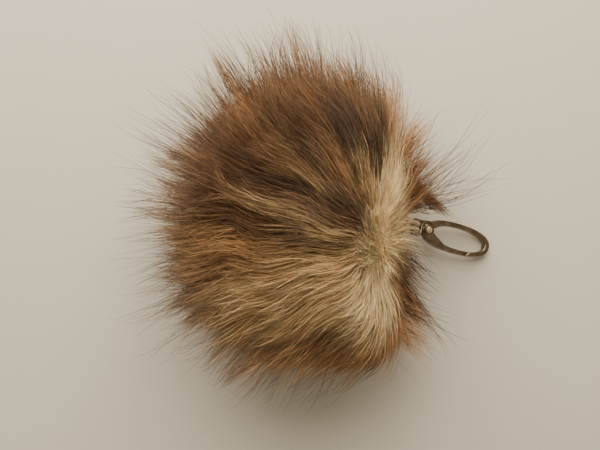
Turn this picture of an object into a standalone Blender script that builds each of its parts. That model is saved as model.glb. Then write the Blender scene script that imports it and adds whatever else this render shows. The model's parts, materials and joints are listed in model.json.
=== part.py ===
"""A fur pom pom for a bag, with its tie and its spring-gate clasp. Metres, +Z up.

The origin is on the surface that the pom pom rests on, straight below the middle of
its core. +X is the way that the clasp points, seen from above.
"""

import math
import random
from collections import namedtuple

import bmesh
import bpy
from mathutils import Euler, Matrix, Quaternion, Vector

MM = 0.001
PARTS = "pom_pom_bag_charm"
CUTTERS = "cutters"
SEED = 11

# The core that the pelt is gathered round, and the fur's reach from its middle.
CORE_RADIUS = 27 * MM
CORE_MIDDLE = Vector((0, 0, 46 * MM))
CORE_SUBDIVISIONS = 3
EVEN_DISTANCE = CORE_MIDDLE.z
TOP_REACH = 51 * MM
UNDER_REACH = 56 * MM
Reach = namedtuple("Reach", "azimuth_deg side_mm")
SIDE_REACH = (
    Reach(17, 50),
    Reach(47, 60),
    Reach(77, 66),
    Reach(107, 66),
    Reach(152, 63),
    Reach(197, 56),
    Reach(227, 60),
    Reach(257, 64),
    Reach(287, 68),
    Reach(317, 72),
    Reach(347, 60),
)

# The hair is combed away from the whorl, the way that its azimuth and elevation point.
WHORL_AZIMUTH_DEG = 8
WHORL_ELEVATION_DEG = 42
COMB_TURN = 0.75
COMB_DEPTH = 33 * MM
COMB_MOST = 1.2
PARTING_SOFTNESS = 0.02
PARTING_PEAK = 3.29

# One lock: its rings, from its root to its shoulder, and its tip.
ROOT_DEPTH = 5 * MM
ROOT_WIDTH = 0.90
BODY_WIDTH = (0.80, 0.88)
SHOULDER = (0.74, 0.86)
TAPER_WIDTH = 0.46
TIP_PAST = (1 * MM, 8 * MM)
LONG_TIP_PAST = (14 * MM, 24 * MM)
LONG_SHARE = 0.30
LONGEST = 85 * MM
TIP_SWAY = 0.35
PARTING_BARE_DEG = 13
UNDER_BARE_SHARE = 0.45
UNDER_BARE_FROM = 12 * MM
DIMPLE_DEG = 30
DIMPLE_LENGTH = 0.70
WISP_FREE_DEG = 45
SHORTEST_LOCK = 9 * MM
LEAST_HEIGHT = 0.5 * MM
FOOT_SHOULDER = 0.80
FOOT_WIDTH = 0.50

# The clasp, about its rivet: +X to the bow's tip and +Z out of the face that shows.
RIVET_X = 55.0 * MM
RIVET_Y = 14.6 * MM
CLASP_PITCH_DEG = 15
CLASP_ROLL_DEG = -8
GAP = 0.3 * MM
Oval = namedtuple("Oval", "middle half_length half_width squareness")
OUTER = Oval(14.9 * MM, 16.9 * MM, 7.0 * MM, 2.35)
INNER = Oval(16.2 * MM, 13.3 * MM, 4.9 * MM, 2.15)
BOW_HALF_THICK = 1.9 * MM
EDGE_ROUND = 0.45 * MM
BEARING_HALF_FLAT = 1.0 * MM
SPLIT_OUTER_X = 20.4 * MM
SPLIT_INNER_X = 22.6 * MM
SPLIT_GAP = 0.48 * MM
ARM_ROOT_X = 0.8 * MM
TANG_RADIUS = 2.5 * MM
TANG_FROM_DEG = 216
TANG_TO_DEG = 25
ARM_INNER_DEG = 155
TANG_HALF_THICK = 0.85 * MM
CHEEK_RADIUS = 2.9 * MM
CHEEK_HALF_THICK = 2.3 * MM
POCKET_RADIUS = 3.25 * MM
CHEEK_FROM_DEG = -12
CHEEK_TO_DEG = 225
WEB_FROM_DEG = 229
HEEL_X = -0.6 * MM
WEDGE_END_X = 8.7 * MM
GATE_BAR_FROM_X = 7.8 * MM
GATE_BAR_HALF_THICK = 1.8 * MM
GATE_EDGE_ROUND = 0.35 * MM
EYE_HALF_WIDTH = 3.8 * MM
EYE_END_X = -8.0 * MM
EYE_CORNER = 1.3 * MM
EYE_HALF_THICK = 1.0 * MM
EYE_HOLE_X = (-6.4 * MM, -3.7 * MM)
EYE_HOLE_HALF_WIDTH = 2.6 * MM
EYE_HOLE_CORNER = 0.6 * MM
BORE_RADIUS = 1.2 * MM
CUT_REACH = 6 * MM
STEPS = 28

# The rivet's turned profile above the clasp's middle plane, from its dome inwards.
Turned = namedtuple("Turned", "radius_mm height_mm")
RIVET_PROFILE = (
    Turned(0.0, 3.65),
    Turned(0.8, 3.53),
    Turned(1.35, 3.23),
    Turned(1.6, 2.95),
    Turned(2.15, 2.87),
    Turned(2.3, 2.75),
    Turned(2.3, 2.60),
    Turned(0.9, 2.60),
)
RIVET_STEPS = 24

# The tie: two legs out of the core, hitched round the bar of the clasp's eye.
TIE_RADIUS = 1.0 * MM
LEG_APART = 1.25 * MM
TIE_START = 0.95 * MM
TIE_INSIDE_FUR = (0.0, 0.3, 0.6)
TIE_STEPS = 4
Bend = namedtuple("Bend", "along_mm aside_mm up_mm")
HITCH = (
    Bend(-14.6, 1.25, 2.6),
    Bend(-12.2, 1.25, 0.7),
    Bend(-9.9, 1.25, 1.2),
    Bend(-8.5, 1.25, 2.2),
    Bend(-7.2, 1.25, 2.6),
    Bend(-5.9, 1.25, 2.25),
    Bend(-5.1, 1.25, 1.1),
    Bend(-5.1, 1.25, -1.1),
    Bend(-5.9, 1.3, -2.25),
    Bend(-7.2, 1.45, -2.6),
    Bend(-8.9, 2.2, -2.5),
    Bend(-10.4, 3.3, -1.5),
    Bend(-11.1, 3.8, 0.5),
    Bend(-11.2, 3.2, 2.4),
    Bend(-11.1, 1.6, 3.4),
    Bend(-11.1, 0.0, 3.6),
)
CLEAR_OF_TIE = 0.9 * MM
CLASP_ROOM_X = (-11 * MM, 34 * MM)
CLASP_ROOM_Y = 9 * MM
CLASP_ROOM_Z = (-7 * MM, 60 * MM)

Finish = namedtuple("Finish", "red green blue rough metal")
FUR = Finish(0.30, 0.19, 0.10, 0.85, 0.0)
CORD = Finish(0.55, 0.44, 0.30, 0.90, 0.0)
BRASS = Finish(0.27, 0.19, 0.11, 0.42, 1.0)
RIVET_BRASS = Finish(0.42, 0.30, 0.20, 0.30, 1.0)


# ---------------------------------------------------------------- scene and objects


def cleared_scene():
    """Empties the scene and makes the two collections."""
    for old in list(bpy.data.objects):
        bpy.data.objects.remove(old)
    made = []
    for name in (PARTS, CUTTERS):
        collection = bpy.data.collections.new(name)
        bpy.context.scene.collection.children.link(collection)
        made.append(collection)
    return made


def material(name, finish):
    made = bpy.data.materials.new(name)
    made.use_nodes = True
    shader = made.node_tree.nodes["Principled BSDF"]
    shader.inputs["Base Color"].default_value = (finish.red, finish.green, finish.blue, 1)
    shader.inputs["Roughness"].default_value = finish.rough
    shader.inputs["Metallic"].default_value = finish.metal
    return made


def part_object(name, mesh, finish, collection, parent=None):
    made = bpy.data.objects.new(name, mesh)
    mesh.materials.append(material(name, finish))
    collection.objects.link(made)
    made.parent = parent
    return made


def as_mesh(curve_object):
    """The curve's evaluated mesh with its caps welded; the curve is removed."""
    bpy.context.view_layer.update()
    evaluated = curve_object.evaluated_get(bpy.context.evaluated_depsgraph_get())
    mesh = bpy.data.meshes.new_from_object(evaluated)
    bm = bmesh.new()
    bm.from_mesh(mesh)
    bmesh.ops.remove_doubles(bm, verts=bm.verts, dist=0.002 * MM)
    bmesh.ops.recalc_face_normals(bm, faces=bm.faces)
    bm.to_mesh(mesh)
    bm.free()
    bpy.data.objects.remove(curve_object)
    return mesh


def plate_mesh(name, outlines, half_thick, edge_round=0.0):
    """A flat plate from closed outlines, the first one outside, with its rims rounded."""
    curve = bpy.data.curves.new(name, "CURVE")
    curve.dimensions = "2D"
    curve.fill_mode = "BOTH"
    curve.extrude = half_thick - edge_round
    curve.bevel_depth = edge_round
    curve.bevel_resolution = 1
    curve.offset = -edge_round
    for outline in outlines:
        spline = curve.splines.new("POLY")
        spline.points.add(len(outline) - 1)
        for point, (x, y) in zip(spline.points, outline):
            point.co = (x, y, 0, 1)
        spline.use_cyclic_u = True
    holder = bpy.data.objects.new(name, curve)
    bpy.context.scene.collection.objects.link(holder)
    return as_mesh(holder)


def cutter(name, outline, low, high, collection, parent):
    """A prism over an outline, from one height to another, that a Boolean takes away."""
    mesh = plate_mesh(name, [outline], (high - low) / 2)
    made = bpy.data.objects.new(name, mesh)
    made.location.z = (high + low) / 2
    made.hide_render = True
    made.display_type = "WIRE"
    made.parent = parent
    collection.objects.link(made)
    return made


def combine(target, other, operation):
    change = target.modifiers.new(other.name, "BOOLEAN")
    change.operation = operation
    change.object = other
    change.solver = "EXACT"


def shade_round(mesh):
    mesh.shade_smooth()
    mesh.set_sharp_from_angle(angle=math.radians(35))


# ---------------------------------------------------------------- directions and combing


def pointing(azimuth_deg, elevation_deg):
    turn = Euler((0, math.radians(-elevation_deg), math.radians(azimuth_deg)))
    return Vector((1, 0, 0)) @ turn.to_matrix().transposed()


WHORL = pointing(WHORL_AZIMUTH_DEG, WHORL_ELEVATION_DEG)


def comb(direction, distance):
    """Where a hair rooted in this direction points, at this distance from the core's middle.

    It turns away from the whorl: fast beside the parting there, slower further round,
    and not at all at the far side. The turn grows with the depth of the fur.
    """
    share = WHORL.angle(direction) / math.pi
    parting = math.sqrt(share + PARTING_SOFTNESS) - math.sqrt(PARTING_SOFTNESS)
    grown = min(COMB_MOST, max(0.0, distance - CORE_RADIUS) / COMB_DEPTH)
    turn = COMB_TURN * PARTING_PEAK * parting * (1 - share) * grown
    return Quaternion(WHORL.cross(direction).normalized(), turn) @ direction


def rooted_at(direction, distance):
    """The root of the hair that passes here: the comb run backwards, by halving."""
    across = WHORL.cross(direction).normalized()
    low, high = 0.0, WHORL.angle(direction)
    for _ in range(40):
        middle = (low + high) / 2
        reached = comb(Quaternion(across, middle) @ WHORL, distance)
        if WHORL.angle(reached) < WHORL.angle(direction):
            low = middle
        else:
            high = middle
    return Quaternion(across, low) @ WHORL


def fur_reach(direction):
    """How far the dense fur reaches this way: round the sides by the table, then over the top."""
    azimuth = math.degrees(math.atan2(direction.y, direction.x)) % 360
    rows = SIDE_REACH + (SIDE_REACH[0]._replace(azimuth_deg=SIDE_REACH[0].azimuth_deg + 360),)
    if azimuth < rows[0].azimuth_deg:
        azimuth += 360
    for before, after in zip(rows, rows[1:]):
        if before.azimuth_deg <= azimuth <= after.azimuth_deg:
            share = (azimuth - before.azimuth_deg) / (after.azimuth_deg - before.azimuth_deg)
            eased = (1 - math.cos(math.pi * share)) / 2
            side = before.side_mm + (after.side_mm - before.side_mm) * eased
            break
    upright = direction.z**2
    end = TOP_REACH if direction.z > 0 else UNDER_REACH
    return side * MM * (1 - upright) + end * upright


# ---------------------------------------------------------------- the clasp's place


def oval_point(oval, angle):
    """A point on a squared oval, as x and y to the power 2 / squareness."""
    power = 2 / oval.squareness
    x = math.copysign(abs(math.cos(angle)) ** power, math.cos(angle))
    y = math.copysign(abs(math.sin(angle)) ** power, math.sin(angle))
    return (oval.middle + oval.half_length * x, oval.half_width * y)


def oval_angle(oval, x, side):
    """The angle at which the oval passes x, on the side +1 or -1."""
    share = (x - oval.middle) / oval.half_length
    cosine = math.copysign(abs(share) ** (oval.squareness / 2), share)
    return side * math.acos(cosine)


def oval_arc(oval, start, end, steps=STEPS):
    return [oval_point(oval, start + (end - start) * i / steps) for i in range(steps + 1)]


def round_arc(radius, from_deg, to_deg, steps=14):
    angles = [math.radians(from_deg + (to_deg - from_deg) * i / steps) for i in range(steps + 1)]
    return [(radius * math.cos(a), radius * math.sin(a)) for a in angles]


def clasp_place():
    """The clasp's matrix, raised until the lowest rim of its bow meets the surface."""
    turn = Euler((math.radians(CLASP_ROLL_DEG), math.radians(CLASP_PITCH_DEG), 0)).to_matrix()
    rim = [oval_point(OUTER, 2 * math.pi * i / 90) for i in range(90)]
    lowest = min((turn @ Vector((x, y, -BOW_HALF_THICK))).z for x, y in rim)
    return Matrix.Translation((RIVET_X, RIVET_Y, -lowest)) @ turn.to_4x4()


CLASP = clasp_place()


# ---------------------------------------------------------------- the tie's route


def between(points, times, time):
    """The point at this time on the smooth curve through four timed points.

    The straight runs between neighbours are blended in pairs, and those again, until
    one point is left.
    """
    for span in (1, 2):
        points = [
            a.lerp(b, (time - start) / (end - start))
            for a, b, start, end in zip(points, points[1:], times, times[span:])
        ]
    return points[0].lerp(points[1], (time - times[1]) / (times[2] - times[1]))


def smooth_route(points, steps):
    """Points on the smooth curve through these ones.

    They are timed by the square root of their spacing, so that the curve doesn't kink
    where a long run meets a short one.
    """
    ends = [2 * points[0] - points[1]] + points + [2 * points[-1] - points[-2]]
    route = []
    for four in zip(ends, ends[1:], ends[2:], ends[3:]):
        times = [0.0]
        for before, after in zip(four, four[1:]):
            times.append(times[-1] + math.sqrt((after - before).length))
        for i in range(steps):
            route.append(between(four, times, times[1] + (times[2] - times[1]) * i / steps))
    return route + [points[-1]]


def tie_root():
    """The direction in which the tie leaves the core: where the hair reaches the eye from."""
    entry = CLASP @ Vector((HITCH[0].along_mm * MM, 0, HITCH[0].up_mm * MM))
    away = entry - CORE_MIDDLE
    return rooted_at(away.normalized(), away.length), away.length


def tie_route():
    """One leg out of the core, round the bar, across over both legs, and back."""
    root, reach = tie_root()
    aside = CLASP.to_3x3() @ Vector((0, 1, 0))
    legs = []
    for side in (1, -1):
        points = []
        for share in TIE_INSIDE_FUR:
            distance = CORE_RADIUS + TIE_START + share * (reach - CORE_RADIUS - TIE_START)
            middle = CORE_MIDDLE + comb(root, distance) * distance
            points.append(middle + side * LEG_APART * aside)
        for bend in HITCH:
            local = Vector((bend.along_mm, side * bend.aside_mm, bend.up_mm)) * MM
            points.append(CLASP @ local)
        legs.append(points)
    return smooth_route(legs[0] + legs[1][-2::-1], TIE_STEPS)


# ---------------------------------------------------------------- the fur ball


class Lock:
    """One lock of fur: a column of three-cornered rings that follows the comb."""

    def __init__(self, centre, corners, chance):
        self.centre = centre
        self.corners = corners
        self.body = chance.uniform(*BODY_WIDTH)
        self.shoulder = chance.uniform(*SHOULDER)
        long = chance.random() < LONG_SHARE
        self.spare = chance.random() < UNDER_BARE_SHARE
        self.past = chance.uniform(*(LONG_TIP_PAST if long else TIP_PAST))
        self.sway = [chance.uniform(0, TIP_SWAY) for _ in corners]

    def at(self, direction, distance):
        return CORE_MIDDLE + comb(direction, distance) * distance

    def ring(self, distance, width):
        """The three corners of the lock at this distance, kept above the surface."""
        made = []
        for corner in self.corners:
            point = self.at(self.centre.lerp(corner, width).normalized(), distance)
            point.z = max(point.z, LEAST_HEIGHT)
            made.append(point)
        return made

    def length_scale(self):
        """Short beside the whorl, so that the fur dips there, and full further round."""
        share = min(1.0, math.degrees(WHORL.angle(self.centre)) / DIMPLE_DEG)
        return DIMPLE_LENGTH + (1 - DIMPLE_LENGTH) * share

    def past_scale(self):
        """How much of its tip stands past the dense fur: least beside the whorl."""
        share = min(1.0, math.degrees(WHORL.angle(self.centre)) / WISP_FREE_DEG)
        return share * share

    def full_reach(self):
        """The dense fur's reach at the place where this lock ends."""
        distance = CORE_RADIUS
        while distance < fur_reach(comb(self.centre, distance)) * self.length_scale():
            distance += 1 * MM
        return distance

    def floor_distance(self):
        """How far along the lock its middle meets the surface, or None."""
        distance = CORE_RADIUS
        while distance < LONGEST:
            if self.at(self.centre, distance).z <= 0:
                return distance
            distance += 0.25 * MM
        return None

    def outline(self, distance):
        """Points round the lock's full width at this distance, and its middle."""
        corners = self.ring(distance, 1.0)
        edges = [(a + b) / 2 for a, b in zip(corners, corners[1:] + corners[:1])]
        return corners + edges + [self.at(self.centre, distance)]

    def clear_distance(self, blocked):
        """How far the lock runs before it meets the tie or the room kept for the clasp."""
        distance = CORE_RADIUS + 1 * MM
        while distance < LONGEST:
            if any(blocked(point) for point in self.outline(distance)):
                return distance - 2 * MM
            distance += 1 * MM
        return LONGEST

    def rings(self, blocked):
        """(rings from root to end, tip point or None), or None where no lock fits."""
        clear = self.clear_distance(blocked)
        outwards = comb(self.centre, EVEN_DISTANCE)
        beside_parting = math.degrees(WHORL.angle(outwards)) < PARTING_BARE_DEG
        if beside_parting or clear < CORE_RADIUS + SHORTEST_LOCK:
            return None
        reach = self.full_reach()
        floor = self.floor_distance()
        if floor is not None and floor < reach + self.past and floor <= clear:
            foot = self.at(self.centre, floor)
            hidden = math.hypot(foot.x, foot.y) > UNDER_BARE_FROM
            return None if hidden and self.spare else (self.floor_rings(floor), None)
        tip = min(reach + self.past * self.past_scale(), LONGEST, clear)
        shoulder = min(reach * self.shoulder, CORE_RADIUS + 0.72 * (tip - CORE_RADIUS))
        made = [
            self.ring(CORE_RADIUS + ROOT_DEPTH, ROOT_WIDTH),
            self.ring((CORE_RADIUS + ROOT_DEPTH + shoulder) / 2, self.body),
            self.ring(shoulder, self.body),
            self.ring((shoulder + tip) / 2, TAPER_WIDTH),
        ]
        aim = self.centre.copy()
        for corner, sway in zip(self.corners, self.sway):
            aim += corner * sway
        point = self.at(aim.normalized(), tip)
        point.z = max(point.z, LEAST_HEIGHT)
        return made, point

    def floor_rings(self, floor):
        """The rings of a lock that ends level on the surface."""
        shoulder = CORE_RADIUS + FOOT_SHOULDER * (floor - CORE_RADIUS)
        made = [
            self.ring(CORE_RADIUS + ROOT_DEPTH, ROOT_WIDTH),
            self.ring((CORE_RADIUS + ROOT_DEPTH + shoulder) / 2, self.body),
            self.ring(shoulder, self.body),
        ]
        foot = []
        middle = self.at(self.centre, floor)
        for corner in self.corners:
            point = self.at(self.centre.lerp(corner, FOOT_WIDTH).normalized(), floor)
            foot.append(Vector((point.x, point.y, 0.0)))
        drift = sum(foot, Vector()) / len(foot) - Vector((middle.x, middle.y, 0.0))
        return made + [[point - drift for point in foot]]


def turned_core(tie_direction):
    """The core's mesh, with one face under the foot and one as near as can be to the tie.

    Its faces are even where the locks stand apart, so they crowd towards the whorl on
    the core itself.
    """
    bm = bmesh.new()
    bmesh.ops.create_icosphere(bm, subdivisions=CORE_SUBDIVISIONS, radius=1)
    bm.faces.ensure_lookup_table()
    centres = [face.calc_center_median().normalized() for face in bm.faces]
    down = Vector((0, 0, -1))
    over = centres[0].rotation_difference(down)
    best = max(
        (Quaternion(down, math.radians(turn)) @ over for turn in range(0, 360, 2)),
        key=lambda spin: max((spin @ centre).dot(tie_direction) for centre in centres),
    )
    bmesh.ops.rotate(bm, verts=bm.verts, cent=(0, 0, 0), matrix=best.to_matrix())
    for vert in bm.verts:
        vert.co = CORE_MIDDLE + rooted_at(vert.co.normalized(), EVEN_DISTANCE) * CORE_RADIUS
    return bm


def grow_lock(bm, face, lock, blocked):
    """Extrudes one face of the core ring by ring into a lock, where one fits."""
    found = lock.rings(blocked)
    if found is None:
        return
    rings, tip = found
    for ring in rings:
        face = bmesh.ops.extrude_discrete_faces(bm, faces=[face])["faces"][0]
        for vert, point in zip(face.verts, ring):
            vert.co = point
    if tip is not None:
        end = bmesh.ops.poke(bm, faces=[face])["verts"][0]
        end.co = tip


def room_test(route):
    """A test for points too near the tie, or in the room kept for the clasp."""
    inverse = CLASP.inverted()
    nearest = TIE_RADIUS + CLEAR_OF_TIE

    def blocked(point):
        local = inverse @ point
        along = CLASP_ROOM_X[0] < local.x < CLASP_ROOM_X[1]
        upright = CLASP_ROOM_Z[0] < local.z < CLASP_ROOM_Z[1]
        if along and upright and abs(local.y) < CLASP_ROOM_Y:
            return True
        return any((point - sample).length < nearest for sample in route)

    return blocked


def face_centre(corners):
    """The root direction of a face's middle, which is even where the locks stand apart."""
    outwards = sum((comb(corner, EVEN_DISTANCE) for corner in corners), Vector())
    return rooted_at(outwards.normalized(), EVEN_DISTANCE)


def fur_ball(collection, route):
    chance = random.Random(SEED)
    bm = turned_core(comb(tie_root()[0], EVEN_DISTANCE))
    blocked = room_test(route)
    for face in list(bm.faces):
        corners = [(vert.co - CORE_MIDDLE).normalized() for vert in face.verts]
        grow_lock(bm, face, Lock(face_centre(corners), corners, chance), blocked)
    bmesh.ops.recalc_face_normals(bm, faces=bm.faces)
    mesh = bpy.data.meshes.new("fur_ball")
    bm.to_mesh(mesh)
    bm.free()
    return part_object("fur_ball", mesh, FUR, collection)


# ---------------------------------------------------------------- the tie


def tie(collection, route):
    curve = bpy.data.curves.new("tie", "CURVE")
    curve.dimensions = "3D"
    curve.bevel_depth = TIE_RADIUS
    curve.bevel_resolution = 2
    curve.use_fill_caps = True
    spline = curve.splines.new("POLY")
    spline.points.add(len(route) - 1)
    for point, place in zip(spline.points, route):
        point.co = (*place, 1)
    holder = bpy.data.objects.new("tie", curve)
    bpy.context.scene.collection.objects.link(holder)
    mesh = as_mesh(holder)
    shade_round(mesh)
    return part_object("tie", mesh, CORD, collection)


# ---------------------------------------------------------------- the clasp


def eye_outline():
    """The eye's outside, from its upper root round the bar to its lower root."""
    side, end, corner = EYE_HALF_WIDTH, EYE_END_X, EYE_CORNER
    root = EYE_HOLE_X[1]
    return [
        (root, side),
        (end + corner, side),
        (end + 0.3 * corner, side - 0.3 * corner),
        (end, side - corner),
        (end, corner - side),
        (end + 0.3 * corner, 0.3 * corner - side),
        (end + corner, -side),
        (root, -side),
    ]


def eye_hole():
    (left, right), side, corner = EYE_HOLE_X, EYE_HOLE_HALF_WIDTH, EYE_HOLE_CORNER
    return [
        (left + corner, -side),
        (right - corner, -side),
        (right, corner - side),
        (right, side - corner),
        (right - corner, side),
        (left + corner, side),
        (left, side - corner),
        (left, corner - side),
    ]


def frame_outline():
    """Nose, bow and upper arm along the outer oval, the eye, the tang, and the inner oval."""
    outer = oval_arc(
        OUTER, oval_angle(OUTER, SPLIT_OUTER_X, -1), oval_angle(OUTER, ARM_ROOT_X, 1), 44
    )
    tang = round_arc(TANG_RADIUS, TANG_FROM_DEG, 360 + TANG_TO_DEG)
    flat = math.asin((BEARING_HALF_FLAT / INNER.half_width) ** (INNER.squareness / 2))
    upper = oval_arc(INNER, math.radians(ARM_INNER_DEG), flat)
    nose = oval_arc(INNER, -flat, oval_angle(INNER, SPLIT_INNER_X, -1), 12)
    return outer + eye_outline() + tang + upper + nose


def clasp_frame(parts, cutters, parent):
    mesh = plate_mesh("clasp_frame", [frame_outline(), eye_hole()], BOW_HALF_THICK, EDGE_ROUND)
    shade_round(mesh)
    made = part_object("clasp_frame", mesh, BRASS, parts, parent)
    disc = round_arc(POCKET_RADIUS, 0, 360 - 15, 23)
    wide = EYE_HALF_WIDTH + MM
    left = EYE_END_X - MM
    relief = [(left, -wide), (EYE_HOLE_X[1], -wide), (EYE_HOLE_X[1], wide), (left, wide)]
    for side in (1, -1):
        levels = sorted((side * TANG_HALF_THICK, side * CUT_REACH))
        combine(made, cutter(f"pocket_{side}", disc, *levels, cutters, parent), "DIFFERENCE")
        levels = sorted((side * EYE_HALF_THICK, side * CUT_REACH))
        combine(made, cutter(f"eye_relief_{side}", relief, *levels, cutters, parent), "DIFFERENCE")
    return made


def wedge_outline():
    """The gate's cheeks and wedge: a disc about the rivet that runs on into the outer oval."""
    disc = round_arc(CHEEK_RADIUS, CHEEK_FROM_DEG, CHEEK_TO_DEG, 26)
    start = 2 * math.pi + oval_angle(OUTER, HEEL_X, -1)
    end = 2 * math.pi + oval_angle(OUTER, WEDGE_END_X, -1)
    inner_end = oval_point(INNER, oval_angle(INNER, WEDGE_END_X, -1))
    return disc + oval_arc(OUTER, start, end, 14) + [inner_end]


def bar_outline():
    """The gate's bar, between the two ovals, up to the slanted split."""
    outer = oval_arc(
        OUTER,
        oval_angle(OUTER, GATE_BAR_FROM_X, -1),
        oval_angle(OUTER, SPLIT_OUTER_X - SPLIT_GAP, -1),
        14,
    )
    inner = oval_arc(
        INNER,
        oval_angle(INNER, SPLIT_INNER_X - SPLIT_GAP, -1),
        oval_angle(INNER, GATE_BAR_FROM_X, -1),
        16,
    )
    return outer + inner


def slot_outline():
    """Where the gate is cut out between its cheeks: over the tang and all that it joins."""
    edge = round_arc(TANG_RADIUS + GAP, WEB_FROM_DEG, 360 + CHEEK_FROM_DEG, 12)
    far = CUT_REACH
    start, end = edge[0], edge[-1]
    stretch = far / math.hypot(*start)
    return edge + [
        (end[0] * stretch, end[1] * stretch),
        (far * 1.5, far * 1.5),
        (-far * 1.5, far * 1.5),
        (start[0] * stretch, start[1] * stretch),
    ]


def clasp_gate(parts, cutters, parent):
    mesh = plate_mesh("clasp_gate", [wedge_outline()], CHEEK_HALF_THICK, GATE_EDGE_ROUND)
    shade_round(mesh)
    made = part_object("clasp_gate", mesh, BRASS, parts, parent)
    bar = plate_mesh("gate_bar", [bar_outline()], GATE_BAR_HALF_THICK, EDGE_ROUND)
    bar_object = bpy.data.objects.new("gate_bar", bar)
    bar_object.hide_render = True
    bar_object.display_type = "WIRE"
    bar_object.parent = parent
    cutters.objects.link(bar_object)
    combine(made, bar_object, "UNION")
    half_slot = TANG_HALF_THICK + GAP
    slot = cutter("gate_slot", slot_outline(), -half_slot, half_slot, cutters, parent)
    combine(made, slot, "DIFFERENCE")
    return made


def rivet_bore(cutters, parent):
    outline = round_arc(BORE_RADIUS, 0, 345, 23)
    return cutter("rivet_bore", outline, -CUT_REACH, CUT_REACH, cutters, parent)


def clasp_rivet(collection, parent):
    """The pin with a flange and a dome at each end, turned about its axis."""
    upper = [(row.radius_mm * MM, row.height_mm * MM) for row in RIVET_PROFILE]
    profile = upper + [(radius, -height) for radius, height in reversed(upper)]
    mesh = bpy.data.meshes.new("clasp_rivet")
    edges = [(i, i + 1) for i in range(len(profile) - 1)]
    mesh.from_pydata([(radius, 0, height) for radius, height in profile], edges, [])
    made = part_object("clasp_rivet", mesh, RIVET_BRASS, collection, parent)
    spin = made.modifiers.new("turn", "SCREW")
    spin.steps = RIVET_STEPS
    spin.render_steps = RIVET_STEPS
    spin.use_merge_vertices = True
    spin.merge_threshold = 0.001 * MM
    return made


def main():
    parts, cutters = cleared_scene()
    route = tie_route()
    fur_ball(parts, route)
    tie(parts, route)
    place = bpy.data.objects.new("clasp_place", None)
    place.matrix_world = CLASP
    parts.objects.link(place)
    bore = rivet_bore(cutters, place)
    for made in (clasp_frame(parts, cutters, place), clasp_gate(parts, cutters, place)):
        combine(made, bore, "DIFFERENCE")
    clasp_rivet(parts, place)


main()
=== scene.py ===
"""The looks of a fur pom pom for a bag: its coat hair by hair, its tie and its clasp.

Sizes are in millimetres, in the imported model's frame, and each mesh is scaled to metres
as it is made. +Z is up and +X is the way that the clasp points, seen from above.
"""

import json
import logging
import math
from dataclasses import dataclass
from enum import Enum

import bpy
import numpy as np
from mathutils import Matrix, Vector

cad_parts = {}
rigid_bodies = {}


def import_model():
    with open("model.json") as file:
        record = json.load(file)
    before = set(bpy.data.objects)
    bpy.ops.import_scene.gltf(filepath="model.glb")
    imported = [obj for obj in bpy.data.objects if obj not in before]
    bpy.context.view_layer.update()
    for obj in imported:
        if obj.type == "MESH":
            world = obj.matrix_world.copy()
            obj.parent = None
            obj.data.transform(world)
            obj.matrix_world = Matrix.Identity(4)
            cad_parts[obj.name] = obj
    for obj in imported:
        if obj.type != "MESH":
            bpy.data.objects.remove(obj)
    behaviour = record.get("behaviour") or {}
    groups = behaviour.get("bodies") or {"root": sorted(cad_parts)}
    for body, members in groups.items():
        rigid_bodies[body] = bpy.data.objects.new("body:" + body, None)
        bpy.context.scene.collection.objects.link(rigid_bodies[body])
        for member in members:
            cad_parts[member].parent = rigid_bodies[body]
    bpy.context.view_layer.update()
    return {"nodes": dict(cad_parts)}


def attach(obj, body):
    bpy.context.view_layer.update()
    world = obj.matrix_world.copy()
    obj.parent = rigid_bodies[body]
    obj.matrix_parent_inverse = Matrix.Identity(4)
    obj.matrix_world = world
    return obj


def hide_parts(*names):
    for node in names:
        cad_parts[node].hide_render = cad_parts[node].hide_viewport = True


MM = 0.001
FUR_BODY = "pom_pom"
GATE_BODY = "gate"
# The camera's turn about the vertical, and so the turn from the view's axes to the row's.
VIEW_TURN_DEG = 16.0

log = logging.getLogger("pom_pom")


# ---------------------------------------------------------------- small maths


def unit(vectors: np.ndarray) -> np.ndarray:
    """Each vector of the last axis, scaled to length 1."""
    return vectors / np.maximum(np.linalg.norm(vectors, axis=-1, keepdims=True), 1e-9)


def linear(colour: np.ndarray) -> np.ndarray:
    """Screen colours from 0 to 1 as light: a straight foot, then a power of 2.4."""
    colour = np.asarray(colour, float)
    return np.where(colour <= 0.04045, colour / 12.92, ((colour + 0.055) / 1.055) ** 2.4)


def eased(share: np.ndarray) -> np.ndarray:
    """A share from 0 to 1 with a soft start and end: 3 s^2 - 2 s^3."""
    share = np.clip(share, 0.0, 1.0)
    return share * share * (3 - 2 * share)


def turned_flat(points: np.ndarray, degrees: float) -> np.ndarray:
    """The x and y of points, turned about the vertical by this angle, anticlockwise."""
    angle = math.radians(degrees)
    x, y = points[..., 0], points[..., 1]
    return np.stack(
        [x * math.cos(angle) - y * math.sin(angle), x * math.sin(angle) + y * math.cos(angle)], -1
    )


# ---------------------------------------------------------------- the ball's shape and lie


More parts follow.
